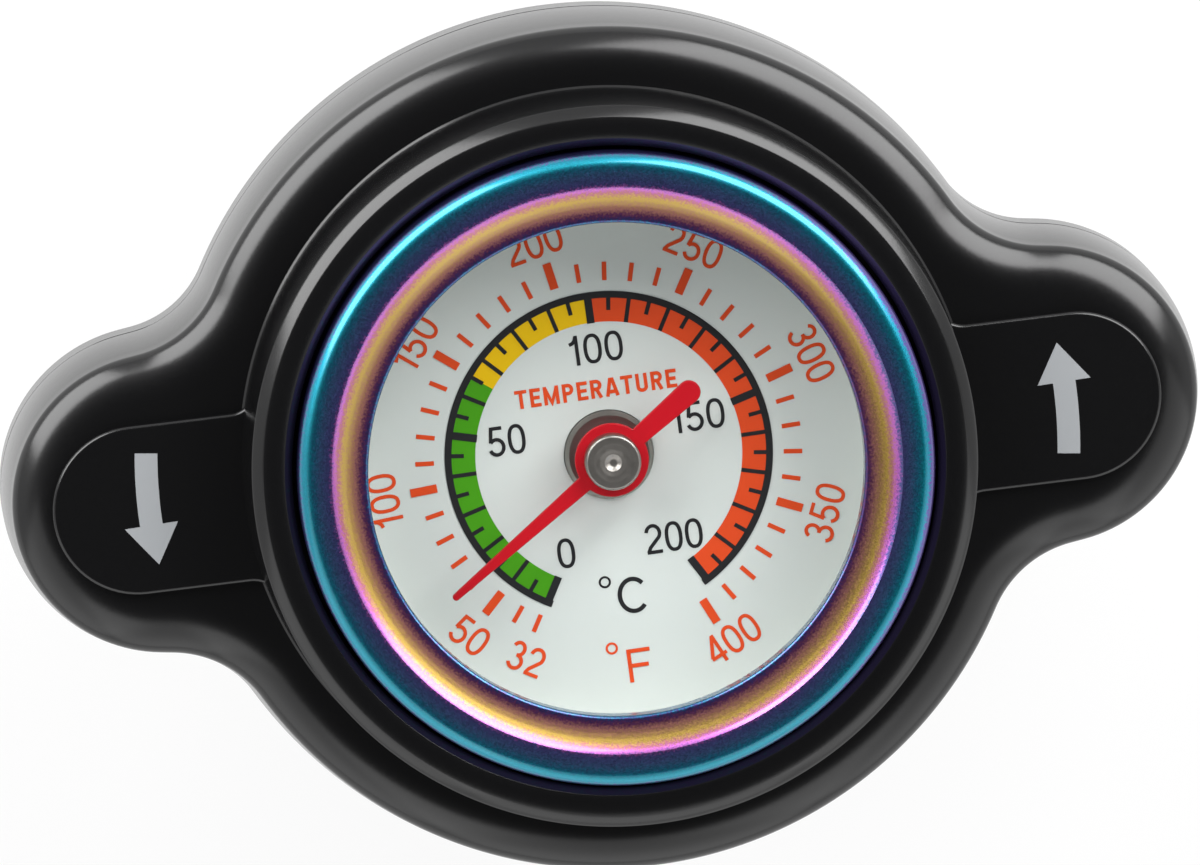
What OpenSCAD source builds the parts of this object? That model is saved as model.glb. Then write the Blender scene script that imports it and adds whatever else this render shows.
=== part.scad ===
// Two-eared radiator pressure cap with a dial thermometer in its crown.
// Millimetres. Z is the cap's own axis, z = 0 is the flat end of the probe nut,
// +X runs to the right ear and +Y to the dial's twelve o'clock.

/* [Cover] */
// Ear tip to ear tip
ear_span = 58.5; // [56:0.5:62]
// Diameter of the round body between the ears
body_d = 41.9; // [41.5:0.1:43]
// Diameter of the rounded ear tips
ear_d = 15.4; // [14:0.2:17]
// Slant of the ear flanks, in degrees
ear_flank = 8; // [4:1:12]
// Radius of the hollow blend between ear and body
ear_fillet = 5; // [4:0.5:6.5]
// How far the side of the body leans in, from the parting line to the crown
skirt_draft = 0.45; // [0.2:0.05:0.6]
// Width of the rounded crown, seen from above
crown_w = 2.15; // [1.8:0.05:2.3]
// Height of the rounded crown
crown_h = 1.2; // [1:0.1:1.8]
// Height from the rim of the base plate to the flange round the plinth
skirt_h = 9.1; // [8.6:0.1:9.6]
// Thickness of the base plate
base_t = 2.2; // [1.8:0.1:2.6]
// Height of the plinth above the flange
plinth_h = 5.9; // [5.5:0.1:6.2]
// Width of the crown and flange, from the body's edge to the foot of the plinth
shoulder_w = 3.25; // [3:0.05:3.6]
// Taper of the plinth, from its foot to its top
plinth_taper = 0.65; // [0.4:0.05:0.9]
// Wall of the plinth round the well, at the top
plinth_wall = 1.55; // [1.4:0.05:1.8]
// Width of the chamfer round the plinth's top
plinth_edge = 0.5; // [0.3:0.05:0.7]
// Width of the chamfer at the mouth of the well
mouth_w = 0.35; // [0.25:0.05:0.5]
// Thickness of the ledge under the gauge
ledge_t = 1.7; // [1.5:0.1:2]
// Width of the raised pad on each ear
pad_w = 8.2; // [7:0.2:9]
// Height of the raised pads
pad_h = 0.5; // [0.3:0.1:0.7]
// Distance from the ear tip to the end of the pad
pad_margin = 2.3; // [1.9:0.2:2.5]
// Radius of the flare where a pad meets the plinth
pad_flare = 1.3; // [1:0.1:1.8]
// Diameter of the base plate screws
screw_d = 2.2; // [1.8:0.1:2.6]
// Diameter of the screw heads
screw_head_d = 4; // [3.6:0.1:4.6]
// Depth that a screw reaches into an ear
screw_reach = 4.5; // [3:0.5:5]
// Distance between the two screws of one ear
screw_pitch = 7; // [6:0.5:8]
// Distance of the screws outwards from the middle of the ear's round
screw_out = 2.05; // [1.5:0.05:2.5]

/* [Gauge] */
// Gap between the bezel and the well
well_gap = 0.22; // [0.15:0.01:0.35]
// Width of the bezel, from its outer edge to its opening
bezel_w = 3.38; // [3:0.02:3.8]
// Radius of the bezel's rounded outer edge
bezel_round = 0.66; // [0.5:0.02:0.8]
// Gap between the bezel's skirt and the gauge case
skirt_gap = 0.07; // [0.05:0.01:0.1]
// Height of the bezel's crest above the plinth
crest_h = 1.2; // [1:0.1:1.4]
// Radius of the hollow slope inside the bezel's flat top
cove_r = 2.1; // [1.9:0.05:2.3]
// Thickness of the bezel's rolled skirt
bezel_t = 0.36; // [0.3:0.02:0.4]
// Length of the bezel's skirt below the crest
bezel_h = 4.4; // [4.2:0.1:4.6]
// Depth of the dial face below the top of the plinth
dial_depth = 5.1; // [5:0.1:5.3]
// Depth of the glass below the top of the plinth
lens_set = 0.3; // [0.2:0.1:0.4]
// Thickness of the glass
lens_t = 1.2; // [1:0.1:1.3]
// Thickness of the ring that cushions the glass
lens_gasket_t = 0.6; // [0.4:0.1:0.7]
// Thickness of the dial plate
dial_t = 0.5; // [0.4:0.1:0.6]
// Width of the gauge case's rolled flange
case_flange_w = 0.25; // [0.2:0.01:0.3]
// Thickness of the gauge case
case_t = 0.6; // [0.5:0.1:0.7]
// Thickness of the spacer between dial and glass
spacer_t = 0.9; // [0.7:0.1:1.2]
// Diameter of the bush at the middle of the dial
bush_d = 4.3; // [4.1:0.1:4.4]
// Height of the bush above the dial face
bush_h = 0.4; // [0.2:0.1:0.6]
// Length of the bush inside the stem
bush_reach = 3.6; // [3:0.2:5]
// Height of the pointer above the dial face
pointer_lift = 2; // [1.6:0.1:2.1]
// Thickness of the pointer
pointer_t = 0.25; // [0.2:0.05:0.35]
// How far the pointer's tip stays inside the opening of the bezel
pointer_short = 1.75; // [1:0.05:3]
// Length of the pointer's counterweight tail
tail_len = 5.5; // [4.5:0.1:6.5]
// Width of the pointer's tail
tail_w = 1.1; // [0.9:0.05:1.4]
// Width of the pointer where it leaves the hub
needle_w = 0.75; // [0.6:0.05:1]
// Width of the pointer's tip
tip_w = 0.25; // [0.2:0.05:0.35]
// Diameter of the pointer's hub
hub_d = 3.56; // [3.2:0.02:4]
// Diameter of the boss that holds the pointer
boss_d = 2.7; // [2.4:0.1:3]
// Height of the boss
boss_h = 1; // [0.8:0.05:1.1]
// Direction of the pointer at rest, in degrees from +X
pointer_angle = 214.8; // [0:0.1:360]
// Diameter of the pointer's spindle
spindle_d = 1; // [0.8:0.1:1.2]
// Outside diameter of the probe stem
stem_d = 6; // [5.8:0.1:6.2]
// Wall of the probe stem
stem_wall = 0.7; // [0.6:0.05:0.75]
// Width of the flange that joins the stem to the case
stem_flange_w = 1.5; // [1:0.1:2.5]
// Thickness of that flange
stem_flange_t = 1; // [0.8:0.1:1.1]
// Room between the bimetal coil and the bore of the stem
coil_room = 0.675; // [0.6:0.025:0.75]
// Thickness of the bimetal strip
strip_t = 0.25; // [0.2:0.05:0.3]
// Width of the bimetal strip
strip_w = 0.7; // [0.5:0.1:0.8]
// Turns of the bimetal coil
coil_turns = 10; // [8:1:11]
// Height of the plug that anchors the coil
anchor_h = 1.4; // [1:0.2:2]
// Height of the collar that joins the coil to the spindle
coil_hub_h = 1; // [0.8:0.1:1.4]

/* [Neck fittings] */
// Depth from the filler neck's top to its inner valve seat
neck_depth = 15.5; // [15:0.5:18]
// Height of the neck flange that the lugs grip
neck_grip = 5.4; // [5.2:0.1:6]
// Wall of the cover's skirt round the locking shell
skirt_wall = 1.6; // [1.4:0.1:1.9]
// Sheet thickness of the locking shell
shell_t = 0.9; // [0.8:0.1:1]
// How far the lugs reach inwards from the shell's skirt
lug_reach = 2.3; // [2:0.1:2.6]
// Width of a lug
lug_w = 9; // [7:0.5:11]
// Width of the tongues that turn the shell
key_w = 5.6; // [4.6:0.2:6.6]
// How far the neck gasket stays inside the lugs
gasket_inset = 0.4; // [0.2:0.1:0.8]
// Width of the neck gasket's ring
gasket_w = 4.1; // [3.4:0.1:4.6]
// Thickness of the neck gasket
gasket_t = 1.1; // [0.9:0.1:1.4]
// Thickness of the sprung diaphragm
diaphragm_t = 0.3; // [0.2:0.05:0.4]
// Thickness of the lock washer
washer_t = 0.4; // [0.3:0.1:0.6]
// How far the lock washer reaches past the stem
washer_reach = 2.3; // [2:0.1:3]
// Least wall of the lock nut
lock_nut_wall = 1.75; // [1.5:0.05:1.9]
// Height of the lock nut
lock_nut_h = 2; // [1.8:0.1:2.4]
// Thickness of the circlip under the spring cage
clip_t = 0.6; // [0.5:0.05:0.7]
// How far the circlip stands out from the stem
clip_reach = 1.4; // [1.2:0.1:1.7]

/* [Valves] */
// Width of the spring cage's rolled lip
cage_lip_w = 1; // [0.8:0.05:1.2]
// Sheet thickness of the spring cage
cage_t = 0.7; // [0.6:0.05:0.8]
// Diameter of the vent holes in the spring cage
vent_d = 3; // [2.5:0.1:3.4]
// How far the main seal stays inside the spring cage, seen from below
seal_inset = 0.2; // [0:0.05:0.4]
// Thickness of the main seal
seal_t = 1.8; // [1.5:0.1:2.2]
// Thickness of the valve plate
plate_t = 0.8; // [0.6:0.1:1]
// How far the valve plate's floor stays inside the spring cage, seen from below
plate_inset = 0.6; // [0.4:0.1:0.8]
// Lift of the pressure valve
relief_lift = 2.2; // [1.6:0.1:2.4]
// Wire of the main spring
spring_wire = 1.3; // [1:0.05:1.35]
// Room between the main spring and the wall of the valve plate's cup
spring_room = 0.45; // [0.35:0.05:0.55]
// Turns of the main spring
spring_turns = 5; // [4:0.25:5.25]
// Room between the eyelet's bore and the vacuum disc's collar
collar_room = 0.45; // [0.3:0.05:0.5]
// Room between the eyelet's flange and the main spring
eyelet_room = 0.55; // [0.45:0.05:0.7]
// Sheet thickness of the eyelet
eyelet_t = 0.3; // [0.25:0.05:0.35]
// Width of the eyelet's rolled flanges
eyelet_flange = 0.9; // [0.6:0.1:1]
// How far the vacuum disc stays inside the main seal
disc_inset = 2.8; // [2.3:0.1:3]
// Thickness of the vacuum disc
disc_t = 0.6; // [0.5:0.1:0.8]
// Height of the bead on the vacuum disc
bead_h = 0.4; // [0.35:0.05:0.5]
// Width of that bead
bead_w = 0.8; // [0.6:0.1:1]
// Height of the vacuum disc's guide collar
collar_h = 2; // [1.6:0.1:2.2]
// Wall of that guide collar
collar_t = 0.7; // [0.5:0.05:0.8]
// Height that the vacuum spring fills
vacuum_spring_h = 3; // [2.8:0.1:3.6]
// Wire of the vacuum spring
vacuum_wire = 0.45; // [0.35:0.05:0.5]
// Room between the vacuum spring and the stem
vacuum_room = 1.075; // [0.8:0.025:1.4]
// Turns of the vacuum spring
vacuum_turns = 2.5; // [2:0.25:2.75]
// Height of the probe nut
nut_h = 2.4; // [2:0.1:3]
// Least wall of the probe nut
nut_wall = 2.5; // [2.3:0.1:3]

/* [Fits] */
// Radial clearance of pieces that turn or slide on each other
run_fit = 0.05; // [0.02:0.01:0.08]
// Radial clearance of pieces that are pushed or screwed together
push_fit = 0.03; // [0.02:0.01:0.05]
// Gap between a valve and the face that it closes on
seat_gap = 0.1; // [0.05:0.05:0.2]
// Loose clearance between pressed parts
loose_fit = 0.15; // [0.1:0.05:0.2]

/* [Hidden] */
$fn = 96;

// A little extra that carries a cut through a face
cut = 0.5;
// Room below the cage when the pressure valve is fully open
lip_room = 0.5;
// How far the shell's rim shows below the base plate
shell_show = 0.2;
// Room between that lip and the wall of the valve plate's cup
cup_room = 0.2;
// Wall of the valve plate's cup
cup_wall = 0.6;
// Thickness of the stem's closed end, and how far it stands back from the end of the nut
stem_floor = 1.7;
stem_back = 0.3;
// Depth of the pivot hole under the spindle, measured from the foot of the anchor
pivot_depth = 0.7;
// Height of the post that holds the coil's fixed end
post_h = 0.3;
// Room between the coil's hub and the circlip's groove, and between the coil and its hub
hub_room = 1.5;
coil_play = 0.15;
// How far the diaphragm reaches past the gasket
diaphragm_over = 0.2;
// End play of the spindle
spindle_play = 0.1;

// Heights, from the probe nut up
disc_z = nut_h + vacuum_spring_h;
seal_z = disc_z + disc_t + bead_h + seat_gap;
plate_z = seal_z + seal_t;
spring_z = plate_z + plate_t;
cage_z = spring_z + relief_lift + lip_room;
catch_z = cage_z + cage_t + seat_gap;
neck_z = seal_z + neck_depth;
diaphragm_z = neck_z + gasket_t;
shell_z = diaphragm_z + diaphragm_t;
ledge_z = shell_z + shell_t;
well_z = ledge_z + ledge_t;
dial_back_z = well_z + case_t;
dial_z = dial_back_z + dial_t;
ring_z = dial_z + dial_depth;
flange_z = ring_z - plinth_h;
rim_z = flange_z - skirt_h;
parting_z = rim_z + base_t;
crown_z = flange_z - crown_h;
lens_z = ring_z - lens_set - lens_t;
case_top_z = lens_z - lens_gasket_t;
pointer_z = dial_z + pointer_lift;
boss_z = pointer_z + pointer_t;
washer_z = diaphragm_z - washer_t;
lock_nut_z = washer_z - lock_nut_h;
cage_top_z = lock_nut_z - loose_fit;
spring_top_z = cage_top_z - cage_t;
clip_z = spring_top_z - loose_fit - clip_t;
lug_z = neck_z - neck_grip - shell_t;
shell_rim_z = rim_z - shell_show;

// Radii that several pieces share
body_r = body_d/2;
ear_r = ear_d/2;
ear_x = ear_span/2 - ear_r;
screw_x = ear_x + screw_out;
plinth_foot_r = body_r - shoulder_w;
plinth_top_r = plinth_foot_r - plinth_taper;
well_r = plinth_top_r - plinth_wall;
bezel_r = well_r - well_gap;
aperture_r = bezel_r - bezel_w;
pointer_len = aperture_r - pointer_short;
cavity_r = body_r - skirt_wall;
shell_r = cavity_r - loose_fit;
lug_r = shell_r - shell_t - lug_reach;
gasket_r = lug_r - gasket_inset;
gasket_bore_r = gasket_r - gasket_w;
stem_r = stem_d/2;
stem_bore_r = stem_r - stem_wall;
stem_hole_r = stem_r + loose_fit;
spindle_r = spindle_d/2;
pivot_r = spindle_r + run_fit;
coil_r = stem_bore_r - coil_room - strip_t/2;
collar_r = stem_r + run_fit + collar_t;
eyelet_r = collar_r + collar_room + eyelet_t;
seal_bore_r = eyelet_r + push_fit;
spring_r = eyelet_r + eyelet_flange + eyelet_room + spring_wire/2;
cup_bore_r = spring_r + spring_wire/2 + spring_room;
cup_r = cup_bore_r + cup_wall;
cage_lip_r = cup_r + cup_room;
cage_bore_r = cage_lip_r + cage_lip_w;
cage_r = cage_bore_r + cage_t;
seal_r = cage_r - seal_inset;
disc_r = seal_r - disc_inset;
vacuum_spring_r = stem_r + vacuum_room + vacuum_wire/2;
washer_r = stem_r + washer_reach;
clip_r = stem_r + clip_reach;
stem_flange_r = stem_r + stem_flange_w;
anchor_z = stem_back + stem_floor;
coil_z = anchor_z + anchor_h + post_h;
coil_hub_z = clip_z - hub_room;
coil_top_z = coil_hub_z - coil_play;
case_lip_r = bezel_r - bezel_t - skirt_gap;
case_r = case_lip_r - case_flange_w;
dial_r = case_r - case_t - push_fit;

// Points along an arc, from angle a0 to a1, in n steps
function arc(c, r, a0, a1, n) = [for (i = [0:n]) let(a = a0 + (a1 - a0)*i/n) c + r*[cos(a), sin(a)]];
function reversed(p) = [for (i = [len(p) - 1:-1:0]) p[i]];
function inner(p) = [for (i = [1:len(p) - 2]) p[i]];
function lifted(p, z) = [for (q = p) [q[0], q[1], z]];

// Outline of the two-eared body, drawn in by a margin: ear tips, flanks, hollow blends and body
function outline(margin) = let(
        big = body_r - margin,
        tip = ear_r - margin,
        blend = ear_fillet + margin,
        n = [sin(ear_flank), cos(ear_flank)],
        k = n[0]*ear_x + tip + blend,
        s = sqrt((big + blend)^2 - k^2),
        f = [n[0]*k + n[1]*s, n[1]*k - n[0]*s],
        turn = atan2(f[1], f[0]),
        quarter = concat(
            arc([ear_x, 0], tip, 0, 90 - ear_flank, 9),
            arc(f, blend, -90 - ear_flank, turn - 180, 6),
            inner(arc([0, 0], big, turn, 90, 12)),
            [[0, big]]),
        half = concat(quarter, [for (i = [len(quarter) - 2:-1:0]) [-quarter[i][0], quarter[i][1]]]))
    concat(half, inner([for (q = reversed(half)) [q[0], -q[1]]]));

// Solid through a stack of rings, each anticlockwise from above and symmetric about the X axis.
// Its two ends are closed by rungs from each point to its mirror image.
module loft(rings) {
    m = len(rings[0]);
    n = len(rings);
    sides = [for (i = [0:n - 2], j = [0:m - 1], t = [0, 1])
        let(a = i*m + j, b = i*m + (j + 1) % m)
        t == 0 ? [a, b + m, b] : [a, a + m, b + m]];
    rungs = concat(
        [[m - 1, 1, 0]],
        [for (j = [1:m/2 - 2], t = [0, 1]) t == 0 ? [m - j, m - j - 1, j + 1] : [m - j, j + 1, j]],
        [[m/2 + 1, m/2, m/2 - 1]]);
    polyhedron([for (r = rings) each r],
        concat([for (f = rungs) reversed(f)], sides, [for (f = rungs) (n - 1)*m*[1, 1, 1] + f]));
}

// Rings of points along a helix, each a copy of a section given as [out, up]
function helix(r, z0, z1, turns, steps, section) = let(n = ceil(turns*steps))
    [for (i = [0:n]) let(a = 360*turns*i/n, z = z0 + (z1 - z0)*i/n)
        [for (q = section) [(r + q[0])*cos(a), (r + q[0])*sin(a), z + q[1]]]];
// Least gap between points of a helix that lie most of a turn apart, less the height of its section
function least_gap(r, z0, z1, turns, steps, height) = let(
        p = [for (ring = helix(r, z0, z1, turns, steps, [[0, 0]])) ring[0]],
        near = floor(steps*0.75))
    min([for (i = [0:len(p) - 1], j = [0:len(p) - 1]) if (j > i + near) norm(p[i] - p[j])]) - height;
function round_section(d) = [for (i = [0:5]) d/2*[cos(60*i), sin(60*i)]];
function flat_section(t, w) = [[t/2, -w/2], [t/2, w/2], [-t/2, w/2], [-t/2, -w/2]];
wound_steps = 8;

// One unbroken tube or strip wound as a helix
module wound(r, z0, z1, turns, section) {
    rings = helix(r, z0, z1, turns, wound_steps, section);
    m = len(section);
    n = len(rings);
    sides = [for (i = [0:n - 2], j = [0:m - 1], t = [0, 1])
        let(a = i*m + j, b = i*m + (j + 1) % m)
        t == 0 ? [a, b, b + m] : [a, b + m, a + m]];
    start = [for (j = [1:m - 2]) [0, j + 1, j]];
    end = [for (j = [1:m - 2]) (n - 1)*m*[1, 1, 1] + [0, j, j + 1]];
    polyhedron([for (r = rings) each r], concat(start, sides, end));
}

// Tube between two heights
module tube(r_out, r_in, z0, z1) {
    translate([0, 0, z0])
        difference() {
            cylinder(r = r_out, h = z1 - z0);
            translate([0, 0, -cut]) cylinder(r = r_in, h = z1 - z0 + 2*cut);
        }
}

// Hexagon prism with a round bore, its flats facing +X
module hex_nut(w, bore_r, z0, z1) {
    translate([0, 0, z0])
        difference() {
            rotate(30) cylinder(r = w/sqrt(3), h = z1 - z0, $fn = 6);
            translate([0, 0, -cut]) cylinder(r = bore_r, h = z1 - z0 + 2*cut);
        }
}

// Places its children at the four screws
module at_screws() {
    for (x = [-screw_x, screw_x], y = [-screw_pitch/2, screw_pitch/2])
        translate([x, y, 0]) children();
}
screw_head_h = (screw_head_d - screw_d)/2;

// Raised pad of the right ear: flares that start inside the plinth, straight sides and a round end
pad_bury = 0.3;
module pad() {
    r = pad_w/2;
    wide = r + pad_flare;
    reach = ear_span/2 - pad_margin;
    foot = sqrt(plinth_foot_r^2 - wide^2) - pad_bury;
    linear_extrude(pad_h + cut)
        polygon(concat(
            [[foot - pad_flare, -wide]],
            arc([foot + pad_flare, -wide], pad_flare, 180, 90, 6),
            arc([reach - r, 0], r, -90, 90, 18),
            arc([foot + pad_flare, wide], pad_flare, 270, 180, 6),
            [[foot - pad_flare, wide]]));
}

// Round plinth: a cone that starts inside the body, with a chamfer round its top
module plinth() {
    spread = cut*plinth_taper/(plinth_h - plinth_edge);
    rotate_extrude()
        polygon([[0, flange_z - cut], [plinth_foot_r + spread, flange_z - cut],
            [plinth_top_r, ring_z - plinth_edge], [plinth_top_r - plinth_edge, ring_z], [0, ring_z]]);
}

// Everything that is turned out of the cover: shell cavity, stem hole, gasket groove and gauge well
module hollow() {
    flange_r = stem_flange_r + loose_fit;
    rotate_extrude()
        polygon([[0, parting_z - cut], [cavity_r, parting_z - cut], [cavity_r, ledge_z],
            [stem_hole_r, ledge_z], [stem_hole_r, well_z - stem_flange_t],
            [flange_r, well_z - stem_flange_t], [flange_r, well_z],
            [groove_r, well_z], [groove_r, well_z - groove_h],
            [groove_r + groove_w, well_z - groove_h], [groove_r + groove_w, well_z],
            [well_r, well_z], [well_r, ring_z - mouth_w],
            [well_r + mouth_w + cut, ring_z + cut], [0, ring_z + cut]]);
}

crown_steps = 8;
module cover() {
    crown = [for (i = [0:crown_steps]) let(a = 90*i/crown_steps)
        lifted(outline(skirt_draft + crown_w*(1 - cos(a))), crown_z + crown_h*sin(a))];
    color("#1b1b1c")
    difference() {
        union() {
            loft(concat([lifted(outline(0), parting_z)], crown));
            plinth();
            for (a = [0, 180])
                rotate(a) translate([0, 0, flange_z - cut]) pad();
        }
        hollow();
        at_screws()
            translate([0, 0, parting_z - cut]) cylinder(r = screw_d/2 + push_fit, h = screw_reach + 2*cut);
    }
}

groove_w = 3;
groove_h = 0.5;
groove_r = 9.2;
module case_gasket() {
    color("#202124")
        tube(groove_r + groove_w - loose_fit, groove_r + loose_fit, well_z - groove_h, well_z);
}

// Lower plate of the two-eared body, with two tongues that turn the locking shell
module base_plate() {
    tongue = shell_t + loose_fit;
    color("#1b1b1c")
    difference() {
        union() {
            difference() {
                translate([0, 0, rim_z]) linear_extrude(base_t) polygon(outline(0));
                translate([0, 0, rim_z - cut]) cylinder(r = cavity_r, h = base_t + 2*cut);
            }
            for (a = [0, 180])
                rotate(a) translate([cavity_r - tongue, -key_w/2, rim_z])
                    cube([tongue + cut, key_w, base_t]);
        }
        at_screws() {
            translate([0, 0, rim_z - cut]) cylinder(r = screw_d/2 + push_fit, h = base_t + 2*cut);
            translate([0, 0, rim_z - push_fit])
                cylinder(r1 = screw_head_d/2 + 2*push_fit, r2 = screw_d/2 + push_fit, h = screw_head_h);
        }
    }
}

module base_screws() {
    slot_w = 0.6;
    slot_h = 0.5;
    color("#4a4b4d")
    at_screws()
        difference() {
            union() {
                translate([0, 0, rim_z]) cylinder(d1 = screw_head_d, d2 = screw_d, h = screw_head_h);
                translate([0, 0, rim_z]) cylinder(d = screw_d, h = base_t + screw_reach);
            }
            translate([-screw_head_d, -slot_w/2, rim_z - slot_h]) cube([2*screw_head_d, slot_w, 2*slot_h]);
        }
}

case_flange_t = 0.5;
module gauge_case() {
    color("#b9bcbf")
    difference() {
        union() {
            translate([0, 0, well_z]) cylinder(r = case_r, h = case_top_z - well_z);
            tube(case_lip_r, case_r - case_t, case_top_z - case_flange_t, case_top_z);
        }
        translate([0, 0, dial_back_z]) cylinder(r = case_r - case_t, h = ring_z);
        translate([0, 0, well_z - cut]) cylinder(r = bush_d/2 + push_fit, h = case_t + 2*cut);
    }
}

// Round edge, flat top, hollow slope and lip of the bezel, with a skirt rolled under the case's flange
cove_turn = 43;
bezel_lip = 0.2;
module bezel() {
    crest_z = ring_z + crest_h;
    edge_c = [bezel_r - bezel_round, crest_z - bezel_round];
    cove_c = [aperture_r + bezel_lip, crest_z + cove_r*cos(cove_turn)];
    lip_z = cove_c[1] - cove_r;
    inside = bezel_r - bezel_t;
    lens_top = ring_z - lens_set;
    foot = crest_z - bezel_h;
    catch = case_top_z - case_flange_t - push_fit;
    color("#5a4f9a")
    rotate_extrude()
        polygon(concat(
            [[aperture_r, lens_top + push_fit], [aperture_r, lip_z]],
            arc(cove_c, cove_r, -90, cove_turn - 90, 10),
            arc(edge_c, bezel_round, 90, 0, 12),
            [[bezel_r, foot], [case_r + push_fit, foot], [case_r + push_fit, catch],
             [inside, catch], [inside, lens_top + push_fit]]));
}

lens_r = case_r;
module lens() {
    edge = 0.25;
    color("#e8f0ee", 0.35)
    rotate_extrude()
        polygon([[0, lens_z], [lens_r, lens_z], [lens_r, lens_z + lens_t - edge],
            [lens_r - edge, lens_z + lens_t], [0, lens_z + lens_t]]);
}

module lens_gasket() {
    color("#26272a")
        tube(lens_r, case_r - case_t - spacer_t, case_top_z, lens_z);
}

module spacer_ring() {
    color("#d9dcda")
        tube(dial_r, dial_r - spacer_t, dial_z, case_top_z);
}

module dial_plate() {
    color("#e2e8e1")
        tube(dial_r, bush_d/2 + push_fit, dial_back_z, dial_z);
}

// Bush that guides the spindle through the dial, with a bevelled top edge
module spindle_bush() {
    bevel = 0.2;
    top = dial_z + bush_h;
    foot = well_z - bush_reach;
    r = bush_d/2;
    in_r = stem_bore_r - push_fit;
    color("#a9a8a3")
    rotate_extrude()
        polygon([[pivot_r, foot], [in_r, foot], [in_r, well_z - push_fit], [r, well_z - push_fit],
            [r, top - bevel], [r - bevel, top], [pivot_r, top]]);
}

clip_groove = 0.3;
module probe_stem() {
    color("#b7b4ab")
    difference() {
        union() {
            translate([0, 0, stem_back]) cylinder(r = stem_r, h = well_z - stem_back);
            translate([0, 0, well_z - stem_flange_t]) cylinder(r = stem_flange_r, h = stem_flange_t);
        }
        translate([0, 0, anchor_z]) cylinder(r = stem_bore_r, h = well_z);
        tube(stem_r + cut, stem_r - clip_groove, clip_z - push_fit, clip_z + clip_t + push_fit);
    }
}

module bimetal_coil() {
    color("#b08a4a")
        wound(coil_r, coil_z + strip_w/2, coil_top_z - strip_w/2, coil_turns,
            flat_section(strip_t, strip_w));
}
echo(str("bimetal_coil least gap to itself, mm: ",
    least_gap(coil_r, coil_z + strip_w/2, coil_top_z - strip_w/2, coil_turns, wound_steps, strip_w)));

// Plug at the foot of the stem: the coil's fixed end, and a pivot for the spindle
module coil_anchor() {
    r = stem_bore_r - push_fit;
    post_w = 0.5;
    color("#8f8d86")
    difference() {
        union() {
            translate([0, 0, anchor_z]) cylinder(r = r, h = anchor_h);
            translate([coil_r - post_w/2, -post_w/2, anchor_z])
                cube([post_w, post_w, coil_z - anchor_z]);
        }
        translate([0, 0, anchor_z + pivot_depth]) cylinder(r = pivot_r, h = anchor_h);
    }
}

// Pressed shell: a disc, a skirt with two slots for the tongues, and two inward lugs
module locking_shell() {
    slot = key_w + 2*loose_fit;
    bore_r = shell_r - shell_t;
    color("#c4c6c8")
    difference() {
        union() {
            difference() {
                translate([0, 0, shell_rim_z]) cylinder(r = shell_r, h = ledge_z - shell_rim_z);
                translate([0, 0, shell_rim_z - cut]) cylinder(r = bore_r, h = shell_z - shell_rim_z + cut);
            }
            for (a = [90, 270])
                rotate(a)
                intersection() {
                    union() {
                        tube(shell_r, bore_r, lug_z, shell_rim_z + cut);
                        tube(shell_r, lug_r, lug_z, lug_z + shell_t);
                    }
                    translate([0, -lug_w/2, lug_z]) cube([2*shell_r, lug_w, neck_grip]);
                }
        }
        translate([0, 0, shell_z - cut]) cylinder(r = stem_hole_r, h = shell_t + 2*cut);
        for (a = [0, 180])
            rotate(a) translate([bore_r - cut, -slot/2, shell_rim_z - cut])
                cube([shell_t + 2*cut, slot, parting_z + loose_fit - shell_rim_z + cut]);
    }
}

module diaphragm() {
    color("#9ea1a4")
        tube(gasket_r + diaphragm_over, stem_hole_r, diaphragm_z, shell_z);
}

module neck_gasket() {
    color("#1d1e20")
        tube(gasket_r, gasket_bore_r, neck_z, diaphragm_z);
}

module lock_washer() {
    color("#8c8e91")
    difference() {
        tube(washer_r, stem_hole_r, washer_z, diaphragm_z);
        rotate(20) translate([0, -loose_fit, washer_z - cut])
            cube([2*washer_r, 2*loose_fit, washer_t + 2*cut]);
    }
}

module lock_nut() {
    color("#b9b08c")
        hex_nut(stem_d + 2*lock_nut_wall, stem_r + push_fit, lock_nut_z, washer_z);
}

module cage_clip() {
    mouth = 2;
    color("#55575a")
    difference() {
        tube(clip_r, stem_r - clip_groove + push_fit, clip_z, clip_z + clip_t);
        rotate(-70) translate([0, -mouth/2, clip_z - cut]) cube([2*clip_r, mouth, clip_t + 2*cut]);
    }
}

module probe_nut() {
    color("#b9b08c")
        hex_nut(stem_d + 2*nut_wall, stem_r + push_fit, 0, nut_h);
}

// Needle, hub and round-ended tail, pointing along +X before it is turned to its reading
module pointer() {
    color("#d8202a")
    translate([0, 0, pointer_z])
    rotate(pointer_angle)
    linear_extrude(pointer_t)
    difference() {
        union() {
            circle(d = hub_d);
            polygon([[0, -needle_w/2], [pointer_len - tip_w/2, -tip_w/2],
                [pointer_len - tip_w/2, tip_w/2], [0, needle_w/2]]);
            translate([pointer_len - tip_w/2, 0]) circle(d = tip_w, $fn = 24);
            translate([tail_w/2 - tail_len, -tail_w/2]) square([tail_len - tail_w/2, tail_w]);
            translate([tail_w/2 - tail_len, 0]) circle(d = tail_w);
        }
        circle(r = spindle_r + push_fit);
    }
}

// Button pressed on the spindle, with a rounded edge and a staked dimple
boss_cap = 0.3;
module pointer_boss() {
    edge = 0.12;
    dimple_r = 0.3;
    top = boss_z + boss_h;
    bore = spindle_r + push_fit;
    color("#b5b3ae")
    rotate_extrude()
        polygon([[bore, boss_z], [boss_d/2, boss_z], [boss_d/2, top - edge], [boss_d/2 - edge, top],
            [dimple_r, top], [0, top - boss_cap/2], [0, top - boss_cap], [bore, top - boss_cap]]);
}

module spindle() {
    foot = anchor_z + pivot_depth + spindle_play;
    color("#9b9a95")
        translate([0, 0, foot]) cylinder(r = spindle_r, h = boss_z + boss_h - boss_cap - push_fit - foot);
}

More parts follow.
